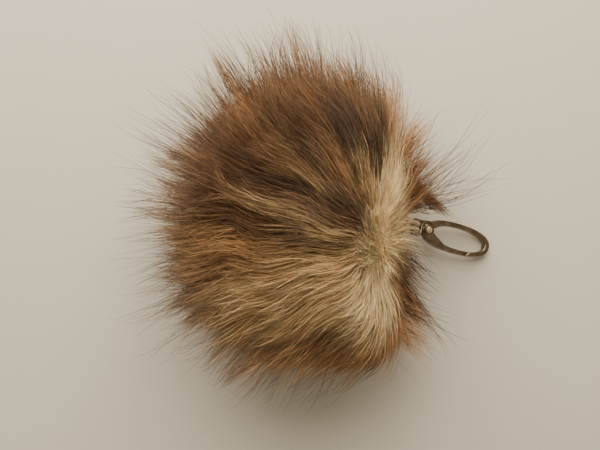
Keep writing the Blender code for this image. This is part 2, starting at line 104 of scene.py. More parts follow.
@dataclass(frozen=True)
class Whorl:
    """The place on the ball that all the hair turns away from, and directions about it.

    A direction is given as an arc from the whorl and a bearing round it, in radians.
    """

    azimuth_deg: float = 8.0
    elevation_deg: float = 42.0

    def axes(self) -> np.ndarray:
        """Three rows: the whorl's direction, uphill from it, and across to its left."""
        azimuth, elevation = math.radians(self.azimuth_deg), math.radians(self.elevation_deg)
        level = np.array([math.cos(azimuth), math.sin(azimuth), 0.0])
        up = np.array([0.0, 0.0, 1.0])
        whorl = math.cos(elevation) * level + math.sin(elevation) * up
        uphill = math.cos(elevation) * up - math.sin(elevation) * level
        return np.stack([whorl, uphill, np.cross(whorl, uphill)])

    def direction(self, arc: np.ndarray, bearing: np.ndarray) -> np.ndarray:
        """Unit vectors: cos(arc) of the whorl plus sin(arc) of the bearing's direction."""
        whorl, uphill, across = self.axes()
        sideways = np.cos(bearing)[..., None] * uphill + np.sin(bearing)[..., None] * across
        return np.cos(arc)[..., None] * whorl + np.sin(arc)[..., None] * sideways

    def polar(self, directions: np.ndarray) -> tuple[np.ndarray, np.ndarray]:
        """The arc and bearing of unit vectors."""
        whorl, uphill, across = (directions @ axis for axis in self.axes())
        return np.arccos(np.clip(whorl, -1, 1)), np.arctan2(across, uphill)


@dataclass(frozen=True)
class SideReach:
    """How far the dense fur reaches sideways, at one azimuth of the row."""

    azimuth_deg: float
    reach: float


@dataclass(frozen=True)
class Ball:
    """The dense fur's outside: its middle, its reach each way and the dip at the whorl."""

    whorl: Whorl = Whorl(3.5, 38.0)
    middle: tuple[float, float, float] = (0.0, 0.0, 46.0)
    top_reach: float = 51.0
    under_reach: float = 56.0
    dip_deg: float = 42.0
    dip_length: float = 0.86
    sides: tuple[SideReach, ...] = (
        SideReach(17, 41),
        SideReach(47, 47),
        SideReach(77, 66),
        SideReach(107, 67),
        SideReach(152, 61),
        SideReach(197, 54),
        SideReach(227, 59),
        SideReach(257, 58.5),
        SideReach(287, 58),
        SideReach(317, 64),
        SideReach(347, 49),
    )

    def reach(self, directions: np.ndarray) -> np.ndarray:
        """The reach in unit directions: eased round the sides, then over the top by z squared."""
        first = self.sides[0]
        angles = np.array([row.azimuth_deg for row in self.sides] + [first.azimuth_deg + 360])
        reaches = np.array([row.reach for row in self.sides] + [first.reach])
        azimuth = np.degrees(np.arctan2(directions[..., 1], directions[..., 0])) % 360
        azimuth = np.where(azimuth < first.azimuth_deg, azimuth + 360, azimuth)
        row = np.clip(np.searchsorted(angles, azimuth, "right") - 1, 0, len(self.sides) - 1)
        share = (azimuth - angles[row]) / (angles[row + 1] - angles[row])
        side = reaches[row] + (reaches[row + 1] - reaches[row]) * (1 - np.cos(np.pi * share)) / 2
        upright = directions[..., 2] ** 2
        end = np.where(directions[..., 2] > 0, self.top_reach, self.under_reach)
        return side * (1 - upright) + end * upright

    def points(self, there: np.ndarray, level: np.ndarray) -> np.ndarray:
        """Places in unit directions, at a share of the way out to the dipped surface."""
        arc, _ = self.whorl.polar(there)
        dip = self.dip_length + (1 - self.dip_length) * eased(np.degrees(arc) / self.dip_deg)
        return np.array(self.middle) + (self.reach(there) * dip * level)[..., None] * there


@dataclass(frozen=True)
class Lay:
    """How far a hair turns away from the whorl over its length, and how it rises.

    The turn is a root of the arc, so that it is quick beside the parting, times the share
    of the arc that is left, to a power. Beside the whorl hair lies flat on the underfur;
    past far_deg it starts deep and stands out.
    """

    sweep: float = 0.88
    softness: float = 0.02
    peak: float = 3.6
    fade: float = 3.2
    near_deg: float = 12.0
    far_deg: float = 95.0
    near_start: float = 0.88
    far_start: float = 0.62
    inverse_steps: int = 26
    swirl: float = 0.02

    def swirled(self, arc: np.ndarray, bearing: np.ndarray) -> np.ndarray:
        """The bearing with the flow's slow bends: two sines of the arc and the bearing."""
        wander = np.sin(11 * arc + 2 * bearing + 0.6) + 0.8 * np.sin(6.5 * arc - 3 * bearing + 2.1)
        return bearing + self.swirl * wander * eased(arc / 0.35)

    def swept(self, arc: np.ndarray, share: np.ndarray) -> np.ndarray:
        """The arc at a share of the length, for hair rooted at this arc."""
        part = arc / math.pi
        parting = np.sqrt(part + self.softness) - math.sqrt(self.softness)
        return arc + self.sweep * self.peak * parting * (1 - part) ** self.fade * share

    def rooted(self, arc: np.ndarray, share: float) -> np.ndarray:
        """The root's arc of the hair that passes here at this share, found by halving."""
        low, high = np.zeros_like(arc), np.array(arc)
        for _ in range(self.inverse_steps):
            middle = (low + high) / 2
            short = self.swept(middle, share) < arc
            low, high = np.where(short, middle, low), np.where(short, high, middle)
        return low

    def farness(self, arc: np.ndarray) -> np.ndarray:
        """0 beside the whorl, 1 from far_deg on."""
        return eased((np.degrees(arc) - self.near_deg) / (self.far_deg - self.near_deg))

    def start(self, arc: np.ndarray) -> np.ndarray:
        """The share of the surface's distance at which hair rooted here leaves the underfur."""
        return self.near_start + (self.far_start - self.near_start) * self.farness(arc)


@dataclass(frozen=True)
class Drift:
    """A slow wander shared by neighbouring hairs: a few sine waves through space."""

    waves: int = 7
    shortest: float = 24.0
    longest: float = 70.0
    size: float = 2.0
    seed: int = 8

    def at(self, points: np.ndarray) -> np.ndarray:
        """The sideways shift at each place, in millimetres."""
        chance = np.random.default_rng(self.seed)
        shift = np.zeros_like(points)
        for _ in range(self.waves):
            length = chance.uniform(self.shortest, self.longest)
            way = unit(chance.normal(size=3)) * 2 * np.pi / length
            push = unit(chance.normal(size=3)) * self.size / math.sqrt(self.waves)
            shift += np.sin(points @ way + chance.uniform(0, 2 * np.pi))[..., None] * push
        return shift


# ---------------------------------------------------------------- the coat's colours


class Tint(Enum):
    """The coat's hair colours, as seen on a screen in even light; PALE is lifted past the cream as
    painted light.
    """

    # lighter than the cream hair itself: painted light for cream hair that lies in shade
    PALE = (1.0, 0.87, 0.635)
    CREAM = (0.96, 0.82, 0.58)
    STRAW = (0.84, 0.68, 0.46)
    TAN = (0.62, 0.45, 0.27)
    UMBER = (0.36, 0.24, 0.14)
    SOOT = (0.15, 0.10, 0.065)
    ORANGE = (0.60, 0.41, 0.24)
    FAWN = (0.80, 0.60, 0.40)
    BARK = (0.43, 0.285, 0.155)
    ASH = (0.55, 0.43, 0.31)
    RUST = (0.60, 0.37, 0.24)

    @property
    def light(self) -> np.ndarray:
        """The colour as light."""
        return linear(np.array(self.value))


@dataclass(frozen=True)
class Patch:
    """A soft oval of one tint on the coat, seen from above.

    right and up are its middle in the view, from the ball's; half_long lies along
    angle_deg, anticlockwise from the view's right.
    """

    right: float
    up: float
    half_long: float
    half_wide: float
    angle_deg: float
    tint: Tint
    strength: float


COAT_PATCHES = (
    Patch(37, 12, 22, 6.6, 81, Tint.CREAM, 8.0),
    Patch(40, 31, 8, 4.2, 84, Tint.STRAW, 3.0),
    Patch(32, -5, 9, 5.5, 92, Tint.CREAM, 7.0),
    # the two PALE patches: painted light on the cream below the whorl, where the coat lies in shade
    Patch(29, -16, 12, 6.5, 97, Tint.PALE, 9.0),
    Patch(26, -31, 12, 9, 103, Tint.PALE, 9.0),
    Patch(42, -3, 6, 6, 0, Tint.CREAM, 3.0),
    Patch(13, -22, 22, 12, 35, Tint.STRAW, 2.8),
    Patch(-12, -27, 28, 12, 28, Tint.STRAW, 1.2),
    Patch(-30, -36, 22, 12, 30, Tint.STRAW, 0.9),
    Patch(-30, -12, 18, 7, 10, Tint.TAN, 0.9),
    Patch(23, 1, 8, 5.0, 120, Tint.SOOT, 1.2),
    Patch(21, 7, 9, 4.5, 140, Tint.ASH, 3.0),
    Patch(28.5, -6, 7, 3.0, 80, Tint.SOOT, 3.0),
    Patch(14, -7.5, 10, 2.6, 176, Tint.SOOT, 6.0),
    Patch(-6, -1, 11, 3.0, 168, Tint.SOOT, 2.4),
    Patch(8, 11, 14, 2.6, 153, Tint.SOOT, 2.6),
    Patch(-10, 19, 22, 4.0, 158, Tint.SOOT, 4.2),
    Patch(-22, 17, 18, 5.5, 162, Tint.UMBER, 4.0),
    Patch(-1, 31, 17, 4.0, 148, Tint.SOOT, 3.0),
    Patch(-24, 28, 14, 4.5, 160, Tint.UMBER, 3.0),
    Patch(-30, 5, 16, 4.5, 172, Tint.UMBER, 2.6),
    Patch(12, -3.2, 12, 2.8, 168, Tint.STRAW, 4.6),
    Patch(-12, 7, 14, 1.8, 163, Tint.STRAW, 2.0),
    Patch(4, 16, 9, 1.7, 150, Tint.STRAW, 2.4),
    Patch(13, 23, 11, 2.6, 138, Tint.TAN, 3.2),
    Patch(25, 18, 12, 2.6, 115, Tint.STRAW, 3.2),
    Patch(-14, 36, 14, 2.6, 155, Tint.TAN, 2.0),
    Patch(19, 36, 16, 6.0, 120, Tint.SOOT, 5.0),
    Patch(31, 37, 10, 3.6, 103, Tint.SOOT, 4.4),
    Patch(-3, 44, 14, 5, 142, Tint.UMBER, 4.0),
    Patch(8, 51, 15, 4.0, 125, Tint.UMBER, 3.0),
    Patch(-14, 59, 24, 9, 160, Tint.BARK, 3.2),
    Patch(28, 57, 17, 8, 105, Tint.BARK, 3.0),
    Patch(39, 50, 12, 6, 95, Tint.FAWN, 3.0),
    Patch(-38, 48, 22, 9, 35, Tint.BARK, 4.0),
    Patch(-30, 37, 20, 7, 150, Tint.UMBER, 3.2),
    Patch(-52, 24, 24, 8, 75, Tint.ASH, 2.6),
    Patch(-40, 21, 14, 6, 80, Tint.UMBER, 1.6),
    Patch(-56, -14, 18, 8, 100, Tint.ASH, 3.6),
    Patch(2, 4, 14, 5, 165, Tint.ASH, 1.4),
    Patch(-36, -50, 20, 9, 140, Tint.ASH, 1.8),
    Patch(4, -58, 34, 9, 0, Tint.FAWN, 3.4),
    Patch(12, -43, 14, 3.0, 10, Tint.UMBER, 0.7),
    Patch(33, -54, 14, 9, 0, Tint.FAWN, 4.0),
    Patch(39, -15, 7, 3.2, 100, Tint.UMBER, 3.4),
    Patch(43, -30, 9, 3.6, 112, Tint.RUST, 3.4),
    Patch(45, -44, 10, 8, 100, Tint.FAWN, 4.0),
    Patch(49, 9, 8, 4.5, 130, Tint.ORANGE, 4.0),
    Patch(49, 28, 18, 4.5, 80, Tint.ORANGE, 5.0),
)


@dataclass(frozen=True)
class CoatColours:
    """The coat's colour at a place, from its patches and the colour between them."""

    patches: tuple[Patch, ...] = COAT_PATCHES
    between: tuple[Tint, Tint] = (Tint.UMBER, Tint.TAN)
    between_strength: float = 0.6

    def at(self, points: np.ndarray, lean: np.ndarray) -> np.ndarray:
        """The tints' average at each place, weighed by exp(-r^3) of each patch's oval.

        Args:
            points: Places in the row frame, in millimetres.
            lean: From 0 to 1, how far the colour between the patches goes to its second tint.

        Returns:
            Colours as light, one for each place.
        """
        flat = turned_flat(points, -VIEW_TURN_DEG)
        first, second = (tint.light for tint in self.between)
        total = self.between_strength * (first + (second - first) * lean[..., None])
        weights = np.full(lean.shape, self.between_strength)
        for patch in self.patches:
            away = flat - np.array([patch.right, patch.up])
            along = turned_flat(away, -patch.angle_deg)
            span = (along[..., 0] / patch.half_long) ** 2 + (along[..., 1] / patch.half_wide) ** 2
            weight = patch.strength * np.exp(-(span**1.5))
            total = total + weight[..., None] * patch.tint.light
            weights = weights + weight
        return total / weights[..., None]


@dataclass(frozen=True)
class Streaks:
    """Lighter and darker streaks that run with the hair: sines round the whorl's bearing."""

    counts: tuple[int, ...] = (19, 31, 47, 73, 109)
    size: float = 0.38
    seed: int = 3

    def at(self, arc: np.ndarray, bearing: np.ndarray) -> np.ndarray:
        """The log of the brightness at a root's arc and bearing."""
        chance = np.random.default_rng(self.seed)
        level = np.zeros_like(arc)
        for count in self.counts:
            slide, phase = chance.uniform(-9, 9), chance.uniform(0, 2 * np.pi)
            bend = chance.uniform(2, 5)
            level += np.sin(count * bearing + slide * np.sin(bend * arc) + phase)
        return self.size * level / math.sqrt(len(self.counts))


# ---------------------------------------------------------------- meshes


def mesh_object(name: str, points: np.ndarray, faces: list[np.ndarray]) -> bpy.types.Object:
    """A smooth-shaded object of these points and of rows of faces with like corner counts.

    Args:
        name: The object's name.
        points: Places in millimetres.
        faces: Arrays of corner numbers, one row for each face.

    Returns:
        The linked object, with its mesh in metres.
    """
    mesh = bpy.data.meshes.new(name)
    corners = np.concatenate([rows.ravel() for rows in faces]).astype(np.int32)
    counts = np.concatenate([np.full(len(rows), rows.shape[1]) for rows in faces])
    mesh.vertices.add(len(points))
    mesh.vertices.foreach_set("co", (points * MM).astype(np.float32).ravel())
    mesh.loops.add(len(corners))
    mesh.loops.foreach_set("vertex_index", corners)
    mesh.polygons.add(len(counts))
    starts = np.concatenate([[0], np.cumsum(counts)[:-1]]).astype(np.int32)
    mesh.polygons.foreach_set("loop_start", starts)
    mesh.update(calc_edges=True)
    mesh.shade_smooth()
    made = bpy.data.objects.new(name, mesh)
    bpy.context.scene.collection.objects.link(made)
    return made


def paint_points(made: bpy.types.Object, name: str, colours: np.ndarray) -> None:
    """Gives the mesh a colour for each of its points, as light."""
    layer = made.data.color_attributes.new(name=name, type="FLOAT_COLOR", domain="POINT")
    rows = np.concatenate([colours, np.ones((len(colours), 1))], 1)
    layer.data.foreach_set("color", rows.astype(np.float32).ravel())


def tube_faces(rings: int, sides: int) -> np.ndarray:
    """Quads between neighbouring rings of a tube whose points run round each ring."""
    ring, side = np.meshgrid(np.arange(rings - 1), np.arange(sides), indexing="ij")
    after = (side + 1) % sides
    quads = np.stack(
        [
            ring * sides + side,
            ring * sides + after,
            (ring + 1) * sides + after,
            (ring + 1) * sides + side,
        ],
        -1,
    )
    return quads.reshape(-1, 4)


@dataclass
class Hairs:
    """Many hairs of one kind: their middle lines, half widths and colours, ring by ring."""

    lines: np.ndarray
    half_widths: np.ndarray
    colours: np.ndarray
    spins: np.ndarray
    sides: int = 3

    def part(self, chosen: np.ndarray) -> "Hairs":
        """Only these hairs."""
        return Hairs(
            self.lines[chosen], self.half_widths[chosen], self.colours[chosen], self.spins[chosen]
        )

    def built(self, name: str) -> bpy.types.Object:
        """The hairs as closed tapered tubes in one mesh.

        Each ring's corners are the line's point plus the half width times the cosine and
        sine of even angles along two directions square to the line. The last point is the
        tip, and the first ring is closed by a face.

        Args:
            name: The object's name.

        Returns:
            The object, with its colours and a map that gives each hair a cell of its own.
        """
        count, steps = self.lines.shape[:2]
        along = unit(np.gradient(self.lines, axis=1))
        outwards = unit(self.lines[:, -1:] - self.lines[:, :1])
        helper = np.where(np.abs(outwards[..., 2:]) < 0.8, [0.0, 0.0, 1.0], [1.0, 0.0, 0.0])
        first = unit(np.cross(along, helper))
        second = np.cross(along, first)
        angles = self.spins[:, None] + 2 * np.pi * np.arange(self.sides) / self.sides
        turn = np.cos(angles)[:, None, :, None], np.sin(angles)[:, None, :, None]
        spread = turn[0] * first[:, :, None] + turn[1] * second[:, :, None]
        rings = self.lines[:, :, None] + self.half_widths[:, :, None, None] * spread
        body = rings[:, :-1].reshape(count, -1, 3)
        points = np.concatenate([body, self.lines[:, -1:]], 1)
        each = points.shape[1]
        quads = tube_faces(steps - 1, self.sides)
        last = (steps - 2) * self.sides + np.arange(self.sides)
        tips = np.stack([last, np.roll(last, -1), np.full(self.sides, each - 1)], -1)
        base = np.arange(self.sides)[::-1][None]
        shift = (np.arange(count) * each)[:, None, None]
        faces = [(rows[None] + shift).reshape(-1, rows.shape[1]) for rows in (quads, tips, base)]
        made = mesh_object(name, points.reshape(-1, 3), faces)
        colours = np.concatenate(
            [np.repeat(self.colours[:, :-1], self.sides, 1), self.colours[:, -1:]], 1
        )
        paint_points(made, "tint", colours.reshape(-1, 3))
        self.map_cells(made, count, steps)
        return made

    def map_cells(self, made: bpy.types.Object, count: int, steps: int) -> None:
        """Lays each hair out in its own cell, its sides across and its length upwards."""
        across = math.ceil(math.sqrt(count))
        sides = np.arange(self.sides)
        ring = np.arange(steps - 2)
        low = (0.12 + 0.76 * ring / (steps - 1))[:, None]
        high = (0.12 + 0.76 * (ring + 1) / (steps - 1))[:, None]
        left, right = 0.12 + 0.76 * sides / self.sides, 0.12 + 0.76 * (sides + 1) / self.sides
        left, right, low, high = np.broadcast_arrays(left[None], right[None], low, high)
        quads = np.stack(
            [
                np.stack([left, low], -1),
                np.stack([right, low], -1),
                np.stack([right, high], -1),
                np.stack([left, high], -1),
            ],
            -2,
        )
        top = np.full(self.sides, 0.88)
        tips = np.stack(
            [
                np.stack([left[-1], high[-1]], -1),
                np.stack([right[-1], high[-1]], -1),
                np.stack([(left[-1] + right[-1]) / 2, top], -1),
            ],
            -2,
        )
        base = np.array([[[0.12, 0.02], [0.88, 0.02], [0.5, 0.10]]])
        cell = np.stack([np.arange(count) % across, np.arange(count) // across], -1)[:, None]
        places = [
            ((rows.reshape(1, -1, 2) + cell) / across).reshape(-1, 2)
            for rows in (quads, tips, base)
        ]
        layer = made.data.uv_layers.new(name="OFBake")
        layer.data.foreach_set("uv", np.concatenate(places).astype(np.float32).ravel())


# ---------------------------------------------------------------- finishes


class NodeBench:
    """A material's node tree, with short calls to add nodes and join them."""

    def __init__(self, name: str) -> None:
        """Starts a material with its Principled shader."""
        self.material = bpy.data.materials.new(name)
        self.material.use_nodes = True
        self.tree = self.material.node_tree
        self.shader = self.tree.nodes["Principled BSDF"]

    def add(self, kind: str, **settings: object) -> bpy.types.Node:
        """Adds a node and sets its properties."""
        node = self.tree.nodes.new(kind)
        for key, value in settings.items():
            setattr(node, key, value)
        return node

    def join(self, source: bpy.types.NodeSocket, target: bpy.types.NodeSocket) -> None:
        """Links one socket to another."""
        self.tree.links.new(source, target)

    def noise(self, scale: float, detail: float, rough: float = 0.55) -> bpy.types.NodeSocket:
        """Noise on Object coordinates, as a value. The scale counts cells to a metre."""
        place = self.add("ShaderNodeTexCoord")
        texture = self.add("ShaderNodeTexNoise")
        texture.inputs["Scale"].default_value = scale
        texture.inputs["Detail"].default_value = detail
        texture.inputs["Roughness"].default_value = rough
        self.join(place.outputs["Object"], texture.inputs["Vector"])
        return texture.outputs["Fac"]

    def spread(
        self, value: bpy.types.NodeSocket, low: float, high: float, start: float, end: float
    ) -> bpy.types.NodeSocket:
        """The value's stretch from start to end, moved to run from low to high."""
        node = self.add("ShaderNodeMapRange")
        node.inputs["From Min"].default_value = start
        node.inputs["From Max"].default_value = end
        node.inputs["To Min"].default_value = low
        node.inputs["To Max"].default_value = high
        self.join(value, node.inputs["Value"])
        return node.outputs["Result"]

    def ramp(
        self,
        value: bpy.types.NodeSocket,
        colours: tuple[np.ndarray, np.ndarray],
        span: tuple[float, float] = (0.0, 1.0),
    ) -> bpy.types.NodeSocket:
        """The value as a colour, blended from the first to the second over its span."""
        node = self.add("ShaderNodeValToRGB")
        for element, colour, place in zip(node.color_ramp.elements, colours, span):
            element.position = place
            element.color = (*colour, 1)
        self.join(value, node.inputs["Fac"])
        return node.outputs["Color"]

    def bump(self, height: bpy.types.NodeSocket, strength: float, distance: float) -> None:
        """Raises the surface by a height, over a distance in metres."""
        node = self.add("ShaderNodeBump")
        node.inputs["Strength"].default_value = strength
        node.inputs["Distance"].default_value = distance
        self.join(height, node.inputs["Height"])
        self.join(node.outputs["Normal"], self.shader.inputs["Normal"])


@dataclass(frozen=True)
class FurFinish:
    """Hair: each point's own tint, a little lighter and darker by place, with a silky gloss."""

    name: str
    rough: float = 0.48
    gloss: float = 0.26
    lightest: float = 1.10
    darkest: float = 0.88
    cells_to_a_metre: float = 260.0

    def material(self) -> bpy.types.Material:
        """The hair's material."""
        bench = NodeBench(self.name)
        tint = bench.add("ShaderNodeAttribute", attribute_name="tint")
        level = bench.spread(
            bench.noise(self.cells_to_a_metre, 3.0), self.darkest, self.lightest, 0.3, 0.7
        )
        scaled = bench.add("ShaderNodeVectorMath", operation="SCALE")
        bench.join(tint.outputs["Color"], scaled.inputs[0])
        bench.join(level, scaled.inputs["Scale"])
        bench.join(scaled.outputs["Vector"], bench.shader.inputs["Base Color"])
        bench.shader.inputs["Roughness"].default_value = self.rough
        bench.shader.inputs["Specular IOR Level"].default_value = self.gloss
        return bench.material


# ---------------------------------------------------------------- the clasp's place


@dataclass(frozen=True)
class ClaspPlace:
    """Where the clasp lies: its axes about its rivet, from its pitch and its roll."""

    rivet: tuple[float, float, float] = (55.0, 14.6, 10.217475)
    pitch_deg: float = 15.0
    roll_deg: float = -8.0

    def axes(self) -> np.ndarray:
        """The clasp's axes as columns: along to the bow's tip, aside, and out of its face."""
        pitch, roll = math.radians(self.pitch_deg), math.radians(self.roll_deg)
        tipped = np.array(
            [
                [math.cos(pitch), 0.0, math.sin(pitch)],
                [0.0, 1.0, 0.0],
                [-math.sin(pitch), 0.0, math.cos(pitch)],
            ]
        )
        rolled = np.array(
            [
                [1.0, 0.0, 0.0],
                [0.0, math.cos(roll), -math.sin(roll)],
                [0.0, math.sin(roll), math.cos(roll)],
            ]
        )
        return tipped @ rolled

    def local(self, points: np.ndarray) -> np.ndarray:
        """Points of the row frame in the clasp's own axes."""
        return (points - np.array(self.rivet)) @ self.axes()

    def placed(self, points: np.ndarray) -> np.ndarray:
        """Points of the clasp's own axes in the row frame."""
        return points @ self.axes().T + np.array(self.rivet)


@dataclass(frozen=True)
class HairlessRoom:
    """The room over the clasp that no hair enters, in the clasp's own axes.

    It widens evenly from beside the eye to wide_from, where the bow is widest.
    """

    place: ClaspPlace = ClaspPlace()
    start: float = -11.5
    end: float = 34.0
    half_narrow: float = 4.2
    half_wide: float = 7.6
    wide_from: float = 8.0
    low: float = -8.0
    high: float = 60.0

    def holds(self, points: np.ndarray) -> np.ndarray:
        """Whether each point is in the room."""
        x, y, z = np.moveaxis(self.place.local(points), -1, 0)
        share = np.clip((x - self.start) / (self.wide_from - self.start), 0, 1)
        half = self.half_narrow + (self.half_wide - self.half_narrow) * share
        inside = (x > self.start) & (x < self.end) & (np.abs(y) < half)
        return inside & (z > self.low) & (z < self.high)


@dataclass(frozen=True)
class VisualBox:
    """The box that the longest wisps stay inside."""

    half: float = 90.0
    top: float = 110.0

    def misses(self, points: np.ndarray) -> np.ndarray:
        """Whether each point is outside the box."""
        wide = (np.abs(points[..., :2]) > self.half).any(-1)
        return wide | (points[..., 2] > self.top)


# ---------------------------------------------------------------- the fur


@dataclass(frozen=True)
class Cone:
    """A round part of the ball: its middle's azimuth and elevation, and its half angle."""

    azimuth_deg: float
    elevation_deg: float
    half_deg: float

    def holds(self, directions: np.ndarray) -> np.ndarray:
        """Whether unit vectors are in it."""
        azimuth, elevation = math.radians(self.azimuth_deg), math.radians(self.elevation_deg)
        level = math.cos(elevation)
        middle = [level * math.cos(azimuth), level * math.sin(azimuth), math.sin(elevation)]
        return directions @ np.array(middle) > math.cos(math.radians(self.half_deg))

    def share(self) -> float:
        """Its share of all directions: (1 - cos of the half angle) / 2."""
        return (1 - math.cos(math.radians(self.half_deg))) / 2


@dataclass(frozen=True)
class HairLayer:
    """One kind of hair on the ball: how many, how long, how thick and how it gathers.

    near_end and far_end are shares of the surface's distance at which locks end, beside
    the whorl and past far_deg. wild is the share of tufts that end up to wild_past
    further out. gather is how far a lock's hairs have closed at their tips, tuft_gather
    how far the locks of a tuft have, and stray is the share of hairs that hardly close.
    skew is how far a hair has turned sideways about the whorl at its tip, in radians,
    and curl is the lowest and highest number of radians that its waves run through.
    """

    name: str
    pieces: int
    hairs_a_piece: int
    locks: int
    steps: int
    near_end: tuple[float, float]
    far_end: tuple[float, float]
    half_width: tuple[float, float]
    seed: int
    wild: float = 0.0
    wild_past: float = 0.0
    hair_spread: float = 0.06
    lock_width: float = 2.6
    gather: float = 0.75
    tufts: int = 380
    tuft_gather: float = 0.62
    stray: float = 0.2
    skew: float = 0.03
    meander: float = 0.9
    frizz: float = 0.6
    curl: tuple[float, float] = (1.5, 4.5)
    brightness: float = 0.16
    dark_share: float = 0.07
    under_share: float = 0.45
    room_start: float = -11.5
    around: Cone | None = None
    whorl: Whorl | None = None


@dataclass(frozen=True)
class Tuft:
    """Hairs that leave the ball's right side together and end near one place.

    root and tip are rights, ups and heights in the view, from the middle of the floor
    under the ball. spread is how far apart the tips end, bow how far the tuft bends up in
    the view, and dark the share of hairs in soot.
    """

    root: tuple[float, float, float]
    tip: tuple[float, float, float]
    hairs: int
    tint: Tint
    root_spread: float = 3.0
    spread: float = 2.5
    bow: float = 2.0
    dark: float = 0.15

    def lines(self, chance: np.random.Generator, steps: int) -> np.ndarray:
        """The hairs' points, on parabolas from root to tip that end at uneven lengths."""
        start = np.array(self.root) + chance.normal(0, self.root_spread, (self.hairs, 1, 3))
        end = np.array(self.tip) + chance.normal(0, self.spread, (self.hairs, 1, 3))
        share = np.linspace(0, 1, steps)[:, None] * chance.uniform(0.6, 1.15, (self.hairs, 1, 1))
        bend = chance.normal(self.bow, 0.6 * abs(self.bow) + 0.8, (self.hairs, 1, 1))
        lift = np.array([0.0, 1.0, 0.6]) * bend
        line = start + (end - start) * share + 4 * share * (1 - share) * lift
        return np.concatenate([turned_flat(line, VIEW_TURN_DEG), line[..., 2:]], -1)


SIDE_TUFTS = (
    Tuft((38, 25, 38), (66, 4.2, 20), 165, Tint.RUST, 1.6, 1.0, 0.6, 0.04),
    Tuft((38, 20, 38), (62, 9, 24), 40, Tint.FAWN, 2.4, 2.0, 1.0, 0.04),
    Tuft((38, 10, 34), (57, 7, 24), 60, Tint.ASH, 2.4, 2.0, 1.0, 0.2),
    Tuft((38, -7, 28), (58, -22, 9), 60, Tint.UMBER, 3.0, 4.0, -0.5, 0.2),
    Tuft((37, -14, 32), (56, -32, 12), 60, Tint.ORANGE, 3.0, 4.0, -0.5, 0.2),
    Tuft((37, -22, 42), (54, -40, 24), 150, Tint.RUST, 2.4, 2.4, 1.0, 0.1),
    Tuft((34, -28, 42), (56, -47, 25), 130, Tint.FAWN, 3.4, 4.0, 0.5, 0.1),
    Tuft((33, -38, 42), (55, -55, 28), 150, Tint.FAWN, 3.4, 4.0, 0.5, 0.1),
    Tuft((38, 14, 42), (55, 31, 35), 230, Tint.ORANGE, 4.0, 4.4, 0.5, 0.1),
    Tuft((38, 26, 42), (53, 45, 39), 200, Tint.FAWN, 4.0, 4.4, 0.5, 0.1),
    Tuft((38, 8, 38), (60, 22, 32), 110, Tint.ORANGE, 3.0, 5.0, -0.5, 0.15),
    Tuft((42, 10, 38), (74, 38, 34), 40, Tint.BARK, 3.4, 6.0, -5.0, 0.3),
    Tuft((42, 12, 38), (87, 24, 32), 26, Tint.BARK, 3.4, 5.0, -5.0, 0.5),
    Tuft((40, -30, 40), (66, -50, 22), 26, Tint.UMBER, 3.4, 6.0, 1.0, 0.4),
)


